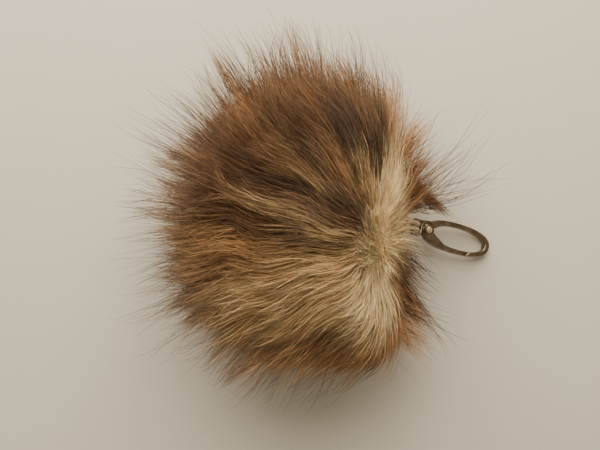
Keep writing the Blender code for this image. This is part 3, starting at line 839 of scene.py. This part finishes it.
@dataclass(frozen=True)
class FurCoat:
    """The pom pom's coat: its layers of hair and the body of underfur below them.

    A hair thins towards its tip by taper times its share of length to taper_power.
    """

    ball: Ball = Ball()
    lay: Lay = Lay()
    drift: Drift = Drift()
    colours: CoatColours = CoatColours()
    colour_drift: Drift = Drift(waves=9, shortest=9.0, longest=34.0, size=5.0, seed=14)
    streaks: Streaks = Streaks()
    box: VisualBox = VisualBox()
    least_height: float = 0.4
    floor_softness: float = 1.6
    floor_push: float = 0.45
    even_share: float = 0.62
    rise: float = 1.3
    cut_tries: int = 9
    cut_share: float = 0.84
    taper: float = 0.72
    taper_power: float = 1.7
    underfur_near: float = 0.885
    underfur_far: float = 0.70
    # underfur_shade: painted shade on the underfur, which lies deep in the coat
    underfur_shade: float = 0.66
    # root_shade: painted shade of the deep coat at the roots, partly the roots' own darker colour
    root_shade: float = 0.66
    tuft_skew: float = 0.13
    tuft_share: float = 0.6
    layers: tuple[HairLayer, ...] = (
        HairLayer(
            "coat",
            pieces=4,
            hairs_a_piece=6950,
            locks=4600,
            steps=5,
            near_end=(0.97, 1.03),
            far_end=(0.83, 1.06),
            half_width=(0.11, 0.175),
            seed=21,
            wild=0.45,
            wild_past=0.42,
            tuft_gather=0.74,
        ),
        HairLayer(
            "guard_hair",
            pieces=1,
            hairs_a_piece=4600,
            locks=2100,
            steps=6,
            near_end=(1.00, 1.08),
            far_end=(1.04, 1.38),
            half_width=(0.08, 0.125),
            seed=22,
            wild=0.45,
            wild_past=0.28,
            hair_spread=0.10,
            lock_width=4.0,
            gather=0.40,
            stray=0.40,
            skew=0.07,
            meander=2.2,
            frizz=0.9,
            brightness=0.25,
            dark_share=0.58,
            under_share=0.30,
        ),
        HairLayer(
            "flyaway",
            pieces=1,
            hairs_a_piece=2500,
            locks=1500,
            steps=7,
            near_end=(0.98, 1.07),
            far_end=(0.95, 1.12),
            half_width=(0.08, 0.12),
            seed=23,
            lock_width=5.0,
            gather=0.1,
            tuft_gather=0.1,
            skew=0.16,
            meander=2.2,
            frizz=2.2,
            curl=(3.0, 8.0),
            brightness=0.30,
            dark_share=0.15,
            under_share=0.15,
        ),
        HairLayer(
            "parting_hair",
            pieces=1,
            hairs_a_piece=1400,
            locks=420,
            steps=6,
            near_end=(1.00, 1.05),
            far_end=(1.00, 1.05),
            half_width=(0.10, 0.15),
            seed=27,
            tuft_gather=0.3,
            skew=0.10,
            frizz=1.2,
            curl=(2.0, 6.0),
            around=Cone(5.0, 44.0, 14.0),
            whorl=Whorl(-8.0, 20.0),
        ),
        HairLayer(
            "hitch_frizz",
            pieces=1,
            hairs_a_piece=300,
            locks=160,
            steps=7,
            near_end=(0.98, 1.24),
            far_end=(1.02, 1.30),
            half_width=(0.08, 0.12),
            seed=24,
            lock_width=4.0,
            gather=0.3,
            tuft_gather=0.0,
            skew=0.25,
            meander=3.0,
            frizz=3.4,
            curl=(4.0, 9.0),
            brightness=0.22,
            dark_share=0.08,
            room_start=-8.2,
            around=Cone(15.0, -8.0, 20.0),
        ),
    )
    tufts: tuple[Tuft, ...] = SIDE_TUFTS

    def even_directions(
        self, count: int, chance: np.random.Generator, layer: HairLayer
    ) -> np.ndarray:
        """Directions spread over the layer's part of the ball on a golden spiral.

        They are thinner underneath: the layer's under_share of them is kept straight
        down, eased to all of them at the side.

        Args:
            count: How many to return.
            chance: The source of random draws.
            layer: The kind of hair.

        Returns:
            Unit vectors.
        """
        part = 1.0 if layer.around is None else layer.around.share()
        tried = int(count * 2.4 / part)
        turn = np.arange(tried) * np.pi * (3 - math.sqrt(5))
        height = 1 - 2 * (np.arange(tried) + 0.5) / tried
        ring = np.sqrt(1 - height**2)
        spiral = np.stack([ring * np.cos(turn), ring * np.sin(turn), height], -1)
        spiral = unit(spiral + chance.normal(0, 0.018, spiral.shape))
        keep = layer.under_share + (1 - layer.under_share) * eased((spiral[:, 2] + 0.9) / 0.8)
        kept = chance.random(tried) < keep
        if layer.around is not None:
            kept &= layer.around.holds(spiral)
        found = np.flatnonzero(kept)
        return spiral[np.sort(chance.permutation(found)[:count])]

    def roots(self, whorl: Whorl, outer: np.ndarray) -> tuple[np.ndarray, np.ndarray]:
        """The root's arc and bearing for hairs whose middles are evenly spread."""
        arc, bearing = whorl.polar(outer)
        return self.lay.rooted(arc, self.even_share), bearing

    def path(
        self,
        whorl: Whorl,
        arc: np.ndarray,
        bearing: np.ndarray,
        end: np.ndarray,
        share: np.ndarray,
        skew: np.ndarray,
    ) -> np.ndarray:
        """Each hair's smooth way: it turns evenly with its length and rises ever slower.

        The rise is 1 - (1 - share)^rise of the way from its start level to its end level.

        Args:
            whorl: The whorl that the hairs turn away from.
            arc: The arc of each root from the whorl.
            bearing: The bearing of each root.
            end: The level of each tip.
            share: The shares of the length at which to place points.
            skew: How far the bearing has turned at each tip.

        Returns:
            The points of each hair.
        """
        climbed = 1 - (1 - share) ** self.rise
        start = self.lay.start(arc)[:, None]
        level = start + (end[:, None] - start) * climbed
        swept = self.lay.swept(arc[:, None], share)
        turned = self.lay.swirled(swept, bearing[:, None] + skew[:, None] * share)
        return self.ball.points(whorl.direction(swept, turned), level)

    def rested(self, points: np.ndarray, lift: np.ndarray) -> np.ndarray:
        """The points with those near the floor bent along it, and pushed outwards a little.

        A height h above the lift becomes the lift plus s times the log of 1 + exp(h / s).
        """
        height = (points[..., 2] - lift) / self.floor_softness
        raised = lift + self.floor_softness * np.logaddexp(0.0, height)
        push = self.floor_push * (raised - points[..., 2])
        moved = points.copy()
        moved[..., :2] += unit(points[..., :2]) * push[..., None]
        moved[..., 2] = raised
        return moved

    def cut_short(self, lines: np.ndarray, room: HairlessRoom) -> tuple[np.ndarray, np.ndarray]:
        """Hairs that would enter the clasp's room or leave the box, cut short of it.

        Each try leaves a blocked hair cut_share of its length, read off its own line.

        Args:
            lines: The hairs' points.
            room: The clasp's room.

        Returns:
            The points, and which hairs are free after the last try.
        """
        count = lines.shape[1]
        wanted = np.arange(count) * self.cut_share
        below = np.minimum(wanted.astype(int), count - 2)
        part = (wanted - below)[:, None]
        for _ in range(self.cut_tries):
            blocked = (room.holds(lines) | self.box.misses(lines)).any(1)
            shorter = lines[blocked][:, below] * (1 - part) + lines[blocked][:, below + 1] * part
            lines[blocked] = shorter
        return lines, ~(room.holds(lines) | self.box.misses(lines)).any(1)

    def ends(self, layer: HairLayer, chance: np.random.Generator, arc: np.ndarray) -> np.ndarray:
        """How far out each lock or tuft ends, as a share of the surface's distance."""
        near_end = chance.uniform(*layer.near_end, len(arc))
        far_end = chance.uniform(*layer.far_end, len(arc))
        past = layer.wild_past * chance.random(len(arc)) ** 1.5
        past = past * (chance.random(len(arc)) < layer.wild)
        return near_end + (far_end - near_end + past) * self.lay.farness(arc)

    def half_widths(
        self,
        chance: np.random.Generator,
        span: tuple[float, float],
        total: int,
        share: np.ndarray,
    ) -> np.ndarray:
        """Each ring's half width, from a draw for each hair that thins towards its tip."""
        return chance.uniform(*span, total)[:, None] * (1 - self.taper * share**self.taper_power)

    def lock_lines(
        self,
        layer: HairLayer,
        whorl: Whorl,
        chance: np.random.Generator,
        outer: np.ndarray,
        share: np.ndarray,
    ) -> tuple[np.ndarray, np.ndarray]:
        """Each lock's middle line and its end, gathered into the tuft that it is nearest to.

        A lock's end is partly its tuft's, and the locks close towards their tuft's line
        by tuft_gather times the share of length squared, least beside the whorl.

        Args:
            layer: The kind of hair.
            whorl: The whorl that it turns away from.
            chance: The source of random draws.
            outer: The locks' directions at their middles.
            share: The shares of the length at which to place points.

        Returns:
            The locks' points, and the level of each lock's end.
        """
        tufts = self.even_directions(layer.tufts, chance, layer)
        nearest = np.argmax(outer @ tufts.T, 1)
        tuft_arc, tuft_bearing = self.roots(whorl, tufts)
        tuft_end = self.ends(layer, chance, tuft_arc)
        tuft_skew = chance.normal(0, self.tuft_skew, len(tufts)) * self.lay.farness(tuft_arc)
        tuft_lines = self.path(whorl, tuft_arc, tuft_bearing, tuft_end * 1.03, share, tuft_skew)
        tuft_lines = tuft_lines + self.waves(chance, len(tufts), share, 1.3, layer.curl)
        arc, bearing = self.roots(whorl, outer)
        far = self.lay.farness(arc)
        end = self.ends(layer, chance, arc)
        end = end + (tuft_end[nearest] - end) * self.tuft_share * far
        skew = chance.normal(0, layer.skew, len(outer))
        lines = self.path(whorl, arc, bearing, end, share, skew)
        close = layer.tuft_gather * share**2 * (0.2 + 0.8 * far)[:, None]
        return lines + (tuft_lines[nearest] - lines) * close[..., None], end

    def grown(self, layer: HairLayer) -> Hairs:
        """One layer's hairs, lock by lock.

        Each hair follows its own smooth way, and closes towards its lock's by the gather
        times its share of length to the power 1.6. The lock and the hair each wander by
        sine waves that grow towards the tip, over a drift that neighbours share.

        Args:
            layer: The kind of hair.

        Returns:
            The hairs, in order of their azimuth.
        """
        chance = np.random.default_rng(layer.seed)
        whorl = layer.whorl or self.ball.whorl
        total = layer.pieces * layer.hairs_a_piece
        outer = self.even_directions(layer.locks, chance, layer)
        owner = np.sort(chance.integers(0, len(outer), total))
        spread = chance.normal(0, layer.lock_width / 2 / 50.0, (total, 3))
        arc, bearing = self.roots(whorl, unit(outer[owner] + spread))
        far = self.lay.farness(arc)
        share = np.linspace(0.0, 1.0, layer.steps)
        lock_line, lock_end = self.lock_lines(layer, whorl, chance, outer, share)
        uneven = chance.normal(0, layer.hair_spread, total) * (0.35 + 0.65 * far)
        skew = chance.normal(0, layer.skew, total)
        lines = self.path(whorl, arc, bearing, lock_end[owner] + uneven, share, skew)
        close = layer.gather * (0.55 + 0.45 * far)[:, None] * share**1.6 * np.where(
            chance.random(total) < layer.stray, 0.15, chance.uniform(0.8, 1.0, total)
        )[:, None]
        lines = lines + (lock_line[owner] - lines) * close[..., None]
        flat = 0.6 + 0.4 * far[:, None, None]
        meander = self.waves(chance, len(outer), share, layer.meander, layer.curl)
        lines = lines + meander[owner] * flat
        lines = lines + self.waves(chance, total, share, layer.frizz, layer.curl) * flat
        lines = lines + self.drift.at(lines) * share[:, None] * flat
        lift = self.least_height + chance.gamma(1.4, 1.3, len(outer))[owner]
        lines = self.rested(lines, lift[:, None] * np.ones(layer.steps))
        lines, clear = self.cut_short(lines, HairlessRoom(start=layer.room_start))
        half = self.half_widths(chance, layer.half_width, total, share)
        colours = self.hair_colours(layer, chance, lines, arc, bearing, owner, share)
        spins = chance.uniform(0, 2 * np.pi, total)
        around = np.argsort(np.arctan2(lines[clear, -1, 1], lines[clear, -1, 0]), kind="stable")
        return Hairs(lines, half, colours, spins).part(np.flatnonzero(clear)[around])

    def waves(
        self,
        chance: np.random.Generator,
        count: int,
        share: np.ndarray,
        size: float,
        curl: tuple[float, float],
    ) -> np.ndarray:
        """A sideways wander: two random waves in each direction, growing with the length."""
        phase = chance.uniform(0, 2 * np.pi, (2, count, 1, 3))
        speed = chance.uniform(*curl, (2, count, 1, 1))
        angle = share[None, None, :, None] * speed + phase
        return size * 0.6 * (np.sin(angle) - np.sin(phase)).sum(0) * share[:, None]

    def hair_colours(
        self,
        layer: HairLayer,
        chance: np.random.Generator,
        lines: np.ndarray,
        arc: np.ndarray,
        bearing: np.ndarray,
        owner: np.ndarray,
        share: np.ndarray,
    ) -> np.ndarray:
        """Each ring's colour: the patches where it lies, strayed along the hair for streaks.

        Args:
            layer: The kind of hair.
            chance: The source of random draws.
            lines: The hairs' points.
            arc: The arc of each root from the whorl.
            bearing: The bearing of each root.
            owner: The number of each hair's lock.
            share: Each ring's share of the length.

        Returns:
            Colours as light, one for each ring of each hair.
        """
        total, locks = len(lines), int(owner.max()) + 1
        way = unit(lines[:, -1] - lines[:, 0])
        stray = chance.normal(0, 3.6, locks)[owner] + chance.normal(0, 2.4, total)
        far = self.lay.farness(arc)
        places = lines + (stray[:, None] * way)[:, None]
        places += self.colour_drift.at(places) * (0.25 + 0.75 * far)[:, None, None]
        places[..., :2] += chance.normal(0, 1.2, (locks, 1, 2))[owner]
        places[..., :2] += chance.normal(0, 0.8, (total, 1, 2))
        lean = np.clip(chance.normal(0.5, 0.3, locks)[owner] + chance.normal(0, 0.15, total), 0, 1)
        found = self.colours.at(places, np.repeat(lean[:, None], len(share), 1))
        level = np.exp(
            (
                chance.normal(0, layer.brightness, locks)[owner]
                + chance.normal(0, layer.brightness * 0.8, total)
                + self.streaks.at(arc, bearing)
            )
            * (0.55 + 0.45 * far)
        )
        # darker towards the root: painted shade of the deep coat, partly the roots' own darker
        # colour
        depth = self.root_shade + (1 - self.root_shade) * eased(share / 0.5)
        found = found * level[:, None, None] * depth[:, None]
        dark = chance.random(total) < layer.dark_share
        ends = np.where(dark[:, None], 0.25 + 0.55 * share, 0.18 * eased((share - 0.7) / 0.3))
        return found + (Tint.SOOT.light * 1.3 - found) * ends[..., None]

    def underfur(self) -> bpy.types.Object:
        """The body of dense underfur: the ball scaled down, combed into fine ridges.

        The surface is a grid of arcs and bearings about the whorl, with a point at each
        pole. Its level is the hair's start, times 1 plus a sum of sines round the bearing
        that slide with the arc.
        """
        rows, columns = 60, 160
        chance = np.random.default_rng(5)
        arc = np.pi * (np.arange(1, rows + 1) / (rows + 1))[:, None] * np.ones(columns)
        bearing = 2 * np.pi * np.arange(columns) / columns * np.ones((rows, 1))
        ridges = np.zeros_like(arc)
        for waves in (13, 23, 37, 53):
            slide, phase = chance.uniform(-6, 6), chance.uniform(0, 2 * np.pi)
            ridges += np.sin(waves * bearing + slide * arc * 3 + phase) / 4
        deeper = self.underfur_far - self.underfur_near
        level = self.underfur_near + deeper * self.lay.farness(arc)
        there = self.ball.whorl.direction(arc, bearing)
        points = self.ball.points(there, level * (1 + 0.03 * ridges * np.sin(arc)))
        ends = self.ball.whorl.direction(np.array([0.0, np.pi]), np.zeros(2))
        poles = self.ball.points(ends, np.array([self.underfur_near, self.underfur_far]))
        points = np.concatenate([points.reshape(-1, 3), poles])
        points[:, 2] = np.maximum(points[:, 2], self.least_height)
        near = np.arange(columns)
        first = np.stack([np.full(columns, rows * columns), near, np.roll(near, -1)], -1)
        far = (rows - 1) * columns + near
        last = np.stack([np.full(columns, rows * columns + 1), np.roll(far, -1), far], -1)
        made = mesh_object("underfur", points, [tube_faces(rows, columns)[:, ::-1], first, last])
        lean = np.clip(chance.normal(0.4, 0.2, len(points)), 0, 1)
        # the underfur's colours dimmed as painted shade
        paint_points(made, "tint", self.colours.at(points, lean) * self.underfur_shade)
        return made

    def side_tufts(self) -> bpy.types.Object:
        """The tufts and wisps that stand out beside the clasp."""
        chance, steps = np.random.default_rng(31), 7
        share = np.linspace(0.0, 1.0, steps)
        lines = np.concatenate([tuft.lines(chance, steps) for tuft in self.tufts])
        total = len(lines)
        lines = lines + self.waves(chance, total, share, 0.9, (2.0, 6.0))
        lines = self.rested(lines, np.full((total, steps), self.least_height))
        lines, clear = self.cut_short(lines, HairlessRoom(half_narrow=3.4, half_wide=5.8))
        tints = np.concatenate([np.tile(tuft.tint.light, (tuft.hairs, 1)) for tuft in self.tufts])
        dark = np.concatenate([chance.random(tuft.hairs) < tuft.dark for tuft in self.tufts])
        tints = np.where(dark[:, None], Tint.SOOT.light, tints)
        level = np.exp(chance.normal(0, 0.25, total))[:, None, None]
        colours = tints[:, None] * level * (0.75 + 0.25 * share)[:, None]
        half = self.half_widths(chance, (0.09, 0.14), total, share)
        hairs = Hairs(lines, half, colours, chance.uniform(0, 2 * np.pi, total))
        return hairs.part(np.flatnonzero(clear)).built("side_tufts")

    def build(self) -> list[bpy.types.Object]:
        """Makes the underfur and every layer, dresses them, and lets them ride on the body."""
        finish = FurFinish("fur").material()
        pieces = [self.underfur(), self.side_tufts()]
        for layer in self.layers:
            hairs = self.grown(layer)
            split = np.array_split(np.arange(len(hairs.lines)), layer.pieces)
            for number, chosen in enumerate(split, 1):
                name = layer.name if layer.pieces == 1 else f"{layer.name}_{number}"
                pieces.append(hairs.part(chosen).built(name))
        for piece in pieces:
            piece.data.materials.append(finish)
            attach(piece, FUR_BODY)
            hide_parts("fur_ball")
        return pieces


# ---------------------------------------------------------------- the tie


@dataclass(frozen=True)
class HitchPoint:
    """A place on one leg of the tie, in the clasp's own axes."""

    along: float
    aside: float
    up: float


@dataclass(frozen=True)
class Cord:
    """The tie: a cord of three twisted plies from the core, hitched round the clasp's eye.

    Both ends are set in the core. Its two legs leave the core side by side, turn away
    from the whorl as the locks beside them do, and pass through the eye and back.
    """

    place: ClaspPlace = ClaspPlace()
    whorl: Whorl = Whorl()
    core_radius: float = 27.0
    core_middle: tuple[float, float, float] = (0.0, 0.0, 46.0)
    lay: Lay = Lay(sweep=0.75, peak=3.29, fade=1.0, inverse_steps=40)
    comb_depth: float = 33.0
    comb_most: float = 1.2
    leg_apart: float = 1.25
    start: float = 0.95
    inside_fur: tuple[float, ...] = (0.0, 0.3, 0.6)
    hitch: tuple[HitchPoint, ...] = (
        HitchPoint(-14.6, 1.25, 2.6),
        HitchPoint(-12.2, 1.25, 0.7),
        HitchPoint(-9.9, 1.25, 1.2),
        HitchPoint(-8.5, 1.25, 2.2),
        HitchPoint(-7.2, 1.25, 2.6),
        HitchPoint(-5.9, 1.25, 2.25),
        HitchPoint(-5.1, 1.25, 1.1),
        HitchPoint(-5.1, 1.25, -1.1),
        HitchPoint(-5.9, 1.3, -2.25),
        HitchPoint(-7.2, 1.45, -2.6),
        HitchPoint(-8.9, 2.2, -2.5),
        HitchPoint(-10.4, 3.3, -1.5),
        HitchPoint(-11.1, 3.8, 0.5),
        HitchPoint(-11.2, 3.2, 2.4),
        HitchPoint(-11.1, 1.6, 3.4),
        HitchPoint(-11.1, 0.0, 3.6),
    )
    steps: int = 11
    plies: int = 3
    ply_radius: float = 0.5
    ply_offset: float = 0.5
    ply_sides: int = 7
    twist_length: float = 4.2
    tint: tuple[float, float, float] = (0.88, 0.78, 0.62)
    fibre_levels: tuple[float, float] = (0.72, 1.12)

    def combed(self, distance: float) -> float:
        """How far hair has turned at this distance from the core's middle, as a share."""
        return min(self.comb_most, max(0.0, distance - self.core_radius) / self.comb_depth)

    def leg(self, side: float) -> np.ndarray:
        """One leg's points, from the core to the back of the hitch."""
        core = np.array(self.core_middle)
        entry = self.place.placed(np.array([self.hitch[0].along, 0.0, self.hitch[0].up])) - core
        far = float(np.linalg.norm(entry))
        arc, bearing = self.whorl.polar(entry / far)
        root = self.lay.rooted(arc, self.combed(far))
        aside = side * self.leg_apart * self.place.axes()[:, 1]
        inner = self.core_radius + self.start
        points = []
        for share in self.inside_fur:
            distance = inner + share * (far - inner)
            there = self.whorl.direction(self.lay.swept(root, self.combed(distance)), bearing)
            points.append(core + there * distance + aside)
        for point in self.hitch:
            points.append(self.place.placed(np.array([point.along, side * point.aside, point.up])))
        return np.array(points)

    def route(self) -> np.ndarray:
        """The whole cord's middle line, a curve through both legs' points.

        Each stretch is a blend of straight lines between four neighbouring points, whose
        times grow by the root of their spacing. Past each end the next point is mirrored.
        """
        legs = self.leg(1.0), self.leg(-1.0)
        points = np.concatenate([legs[0], legs[1][-2::-1]])
        ends = 2 * points[0] - points[1], 2 * points[-1] - points[-2]
        points = np.concatenate([ends[0][None], points, ends[1][None]])
        spacing = np.sqrt(np.linalg.norm(np.diff(points, axis=0), axis=1))
        times = np.concatenate([[0.0], np.cumsum(spacing)])
        route = []
        for first in range(len(points) - 3):
            four, when = points[first : first + 4], times[first : first + 4]
            for step in range(self.steps):
                time = when[1] + (when[2] - when[1]) * step / self.steps
                blend = four
                for span in (1, 2):
                    share = (time - when[:-span]) / (when[span:] - when[:-span])
                    blend = blend[:-1] + (blend[1:] - blend[:-1]) * share[: len(blend) - 1, None]
                share = (time - when[1]) / (when[2] - when[1])
                route.append(blend[0] + (blend[1] - blend[0]) * share)
        return np.array([*route, points[-2]])

    def frames(self, line: np.ndarray) -> tuple[np.ndarray, np.ndarray]:
        """Two directions square to the line at each point, carried along without twist."""
        along = unit(np.gradient(line, axis=0))
        first = [unit(np.cross(along[0], [0.0, 0.0, 1.0]))]
        for way in along[1:]:
            first.append(unit(first[-1] - way * (first[-1] @ way)))
        return np.array(first), np.cross(along, first)

    def build(self) -> bpy.types.Object:
        """Makes the three plies: each is a tube whose middle turns about the cord's line."""
        line = self.route()
        first, second = self.frames(line)
        length = np.concatenate([[0.0], np.cumsum(np.linalg.norm(np.diff(line, axis=0), axis=1))])
        count, sides = len(line), self.ply_sides
        round_ply = 2 * np.pi * np.arange(sides) / sides
        points, faces, places = [], [], []
        for ply in range(self.plies):
            angle = 2 * np.pi * (length / self.twist_length + ply / self.plies)
            middle = line + self.ply_offset * (
                np.cos(angle)[:, None] * first + np.sin(angle)[:, None] * second
            )
            spread = (
                np.cos(round_ply)[None, :, None] * first[:, None]
                + np.sin(round_ply)[None, :, None] * second[:, None]
            )
            points.append((middle[:, None] + self.ply_radius * spread).reshape(-1, 3))
            shift = ply * count * sides
            faces.append(tube_faces(count, sides) + shift)
            caps = np.stack([np.arange(sides)[::-1], (count - 1) * sides + np.arange(sides)])
            faces.append(caps + shift)
            places.append(self.strip(ply, count))
        made = mesh_object("cord", np.concatenate(points), faces)
        layer = made.data.uv_layers.new(name="OFBake")
        layer.data.foreach_set("uv", np.concatenate(places).astype(np.float32).ravel())
        made.data.materials.append(self.finish())
        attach(made, FUR_BODY)
        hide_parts("tie")
        return made

    def strip(self, ply: int, count: int) -> np.ndarray:
        """A ply's map: its sides across a column of its own and its length upwards."""
        sides = self.ply_sides
        ring, side = np.meshgrid(np.arange(count - 1), np.arange(sides), indexing="ij")
        left, right = side / sides, (side + 1) / sides
        low, high = 0.05 + 0.9 * ring / (count - 1), 0.05 + 0.9 * (ring + 1) / (count - 1)
        across = np.stack([left, right, right, left], -1)
        upwards = np.stack([low, low, high, high], -1)
        body = np.stack([(ply + 0.04 + 0.92 * across) / self.plies, upwards], -1).reshape(-1, 2)
        turn = 2 * np.pi * np.arange(sides) / sides
        ends = [
            np.stack([(ply + 0.5 + 0.1 * np.cos(turn)) / self.plies, y + 0.02 * np.sin(turn)], -1)
            for y in (0.022, 0.978)
        ]
        return np.concatenate([body, *ends])

    def finish(self) -> bpy.types.Material:
        """Cream cotton: fine fibres in the colour and as bumps."""
        bench = NodeBench("cord")
        fibres = bench.noise(2600.0, 3.0)
        tones = tuple(linear(self.tint) * level for level in self.fibre_levels)
        bench.join(bench.ramp(fibres, tones, (0.3, 0.7)), bench.shader.inputs["Base Color"])
        bench.shader.inputs["Roughness"].default_value = 0.85
        bench.bump(fibres, 0.35, 0.0001)
        return bench.material


# ---------------------------------------------------------------- the clasp


@dataclass(frozen=True)
class AgedBrass:
    """Brown antique brass: dark and dull in patches, paler and shinier where it rubs.

    Within dome_radius of the rivet's line the dome's colour is mixed in: a painted highlight on the
    rivet's dome.
    """

    name: str
    dark: tuple[float, float, float] = (0.43, 0.355, 0.27)
    pale: tuple[float, float, float] = (0.57, 0.48, 0.375)
    shiny: float = 0.18
    dull: float = 0.30
    # the dome's light colour: a painted highlight
    dome: tuple[float, float, float] = (0.90, 0.77, 0.62)
    dome_radius: float = 0.0
    dome_edge: float = 0.25

    def material(self) -> bpy.types.Material:
        """The metal's material, mottled by noise on Object coordinates."""
        bench = NodeBench(self.name)
        mottle = bench.noise(260.0, 3.0, 0.5)
        colour = bench.ramp(mottle, (linear(self.dark), linear(self.pale)), (0.34, 0.70))
        if self.dome_radius > 0:
            colour = self.painted_highlight(bench, colour)
        bench.join(colour, bench.shader.inputs["Base Color"])
        fine = bench.noise(1900.0, 4.0)
        bench.join(
            bench.spread(fine, self.shiny, self.dull, 0.35, 0.65), bench.shader.inputs["Roughness"]
        )
        bench.shader.inputs["Metallic"].default_value = 1.0
        bench.bump(fine, 0.05, 0.00006)
        return bench.material

    def painted_highlight(self, bench: NodeBench, colour: bpy.types.NodeSocket) -> bpy.types.NodeSocket:
        """The colour with the dome's painted highlight mixed in near the rivet's line.

        A place's distance from the line is the length of the cross product of the line's
        direction with the way to the place from a point of the line.
        """
        place = ClaspPlace()
        here = bench.add("ShaderNodeTexCoord")
        away = bench.add("ShaderNodeVectorMath", operation="SUBTRACT")
        away.inputs[1].default_value = [value * MM for value in place.rivet]
        bench.join(here.outputs["Object"], away.inputs[0])
        aside = bench.add("ShaderNodeVectorMath", operation="CROSS_PRODUCT")
        aside.inputs[1].default_value = list(place.axes()[:, 2])
        bench.join(away.outputs["Vector"], aside.inputs[0])
        length = bench.add("ShaderNodeVectorMath", operation="LENGTH")
        bench.join(aside.outputs["Vector"], length.inputs[0])
        edge = (self.dome_radius - self.dome_edge) * MM
        share = bench.spread(length.outputs["Value"], 1.0, 0.0, edge, self.dome_radius * MM)
        mix = bench.add("ShaderNodeMix", data_type="RGBA")
        mix.inputs["B"].default_value = (*linear(self.dome), 1)
        bench.join(share, mix.inputs["Factor"])
        bench.join(colour, mix.inputs["A"])
        return mix.outputs["Result"]


@dataclass(frozen=True)
class ClaspDress:
    """The clasp's finishes, on its three pieces."""

    brass: AgedBrass = AgedBrass("antique_brass")
    # the rivet's dome gets a painted highlight
    rivet: AgedBrass = AgedBrass("rivet_brass", shiny=0.14, dull=0.26, dome_radius=1.55)

    def build(self, nodes: dict[str, bpy.types.Object]) -> None:
        """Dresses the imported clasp's pieces."""
        brass, rivet = self.brass.material(), self.rivet.material()
        for name, finish in (("clasp_frame", brass), ("clasp_gate", brass), ("clasp_rivet", rivet)):
            nodes[name].data.materials.clear()
            nodes[name].data.materials.append(finish)


# ---------------------------------------------------------------- the studio


@dataclass(frozen=True)
class Studio:
    """The pale floor, the soft light from the view's upper left, and the camera above."""

    camera_place: tuple[float, float, float] = (-1.62, 0.86, 450.0)
    focal: float = 57.4
    sensor: float = 36.0
    floor_half: float = 2500.0
    floor_colour: tuple[float, float, float] = (0.767, 0.717, 0.624)
    floor_levels: tuple[float, float] = (0.985, 1.015)
    key_way: tuple[float, float] = (-40.0, 400.0)
    key_height: float = 385.0
    key_size: float = 640.0
    key_watts: float = 9.4
    sky: tuple[float, float, float] = (1.0, 0.95, 0.85)
    sky_strength: float = 0.46

    def floor(self) -> bpy.types.Object:
        """A level square just under the ball, with a faint unevenness of tone."""
        half = self.floor_half
        corners = np.array([[-half, -half, 0], [half, -half, 0], [half, half, 0], [-half, half, 0]])
        made = mesh_object("floor", corners - [0, 0, 0.02], [np.arange(4)[None]])
        bench = NodeBench("floor")
        tones = tuple(linear(self.floor_colour) * level for level in self.floor_levels)
        bench.join(bench.ramp(bench.noise(40.0, 4.0), tones), bench.shader.inputs["Base Color"])
        bench.shader.inputs["Roughness"].default_value = 0.75
        made.data.materials.append(bench.material)
        return made

    def light(self) -> None:
        """A large soft light over the view's upper left, aimed at the ball."""
        way = turned_flat(np.array(self.key_way), VIEW_TURN_DEG)
        lamp = bpy.data.lights.new("key", "AREA")
        lamp.shape = "SQUARE"
        lamp.size = self.key_size * MM
        lamp.energy = self.key_watts
        lamp.color = (1.0, 0.985, 0.955)
        holder = bpy.data.objects.new("key", lamp)
        holder.location = Vector((way[0], way[1], self.key_height)) * MM
        holder.rotation_euler = (-holder.location).to_track_quat("-Z", "Y").to_euler()
        bpy.context.scene.collection.objects.link(holder)

    def world(self) -> None:
        """An even, pale sky."""
        sky = bpy.data.worlds.new("sky")
        sky.use_nodes = True
        back = sky.node_tree.nodes["Background"]
        back.inputs["Color"].default_value = (*self.sky, 1)
        back.inputs["Strength"].default_value = self.sky_strength
        bpy.context.scene.world = sky

    def camera(self) -> None:
        """The camera, straight above, turned so that the clasp lies as in the view."""
        eye = bpy.data.cameras.new("camera")
        eye.lens = self.focal
        eye.sensor_width = self.sensor
        eye.clip_start = 0.01
        holder = bpy.data.objects.new("camera", eye)
        holder.location = Vector(self.camera_place) * MM
        holder.rotation_euler = (0, 0, math.radians(VIEW_TURN_DEG))
        bpy.context.scene.collection.objects.link(holder)
        bpy.context.scene.camera = holder

    def build(self) -> None:
        """Sets the stage."""
        self.floor()
        self.light()
        self.world()
        self.camera()


# ---------------------------------------------------------------- all together


def main() -> None:
    """Builds everything in order."""
    logging.basicConfig(level=logging.INFO, format="%(name)s: %(message)s")
    for old in list(bpy.data.objects):
        bpy.data.objects.remove(old)
    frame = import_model()
    Studio().build()
    total = 0
    for piece in [*FurCoat().build(), Cord().build()]:
        triangles = sum(len(face.vertices) - 2 for face in piece.data.polygons)
        total += triangles
        log.info("%s: %d triangles", piece.name, triangles)
    log.info("all pieces: %d triangles", total)
    ClaspDress().build(frame["nodes"])


if __name__ == "__main__":
    main()
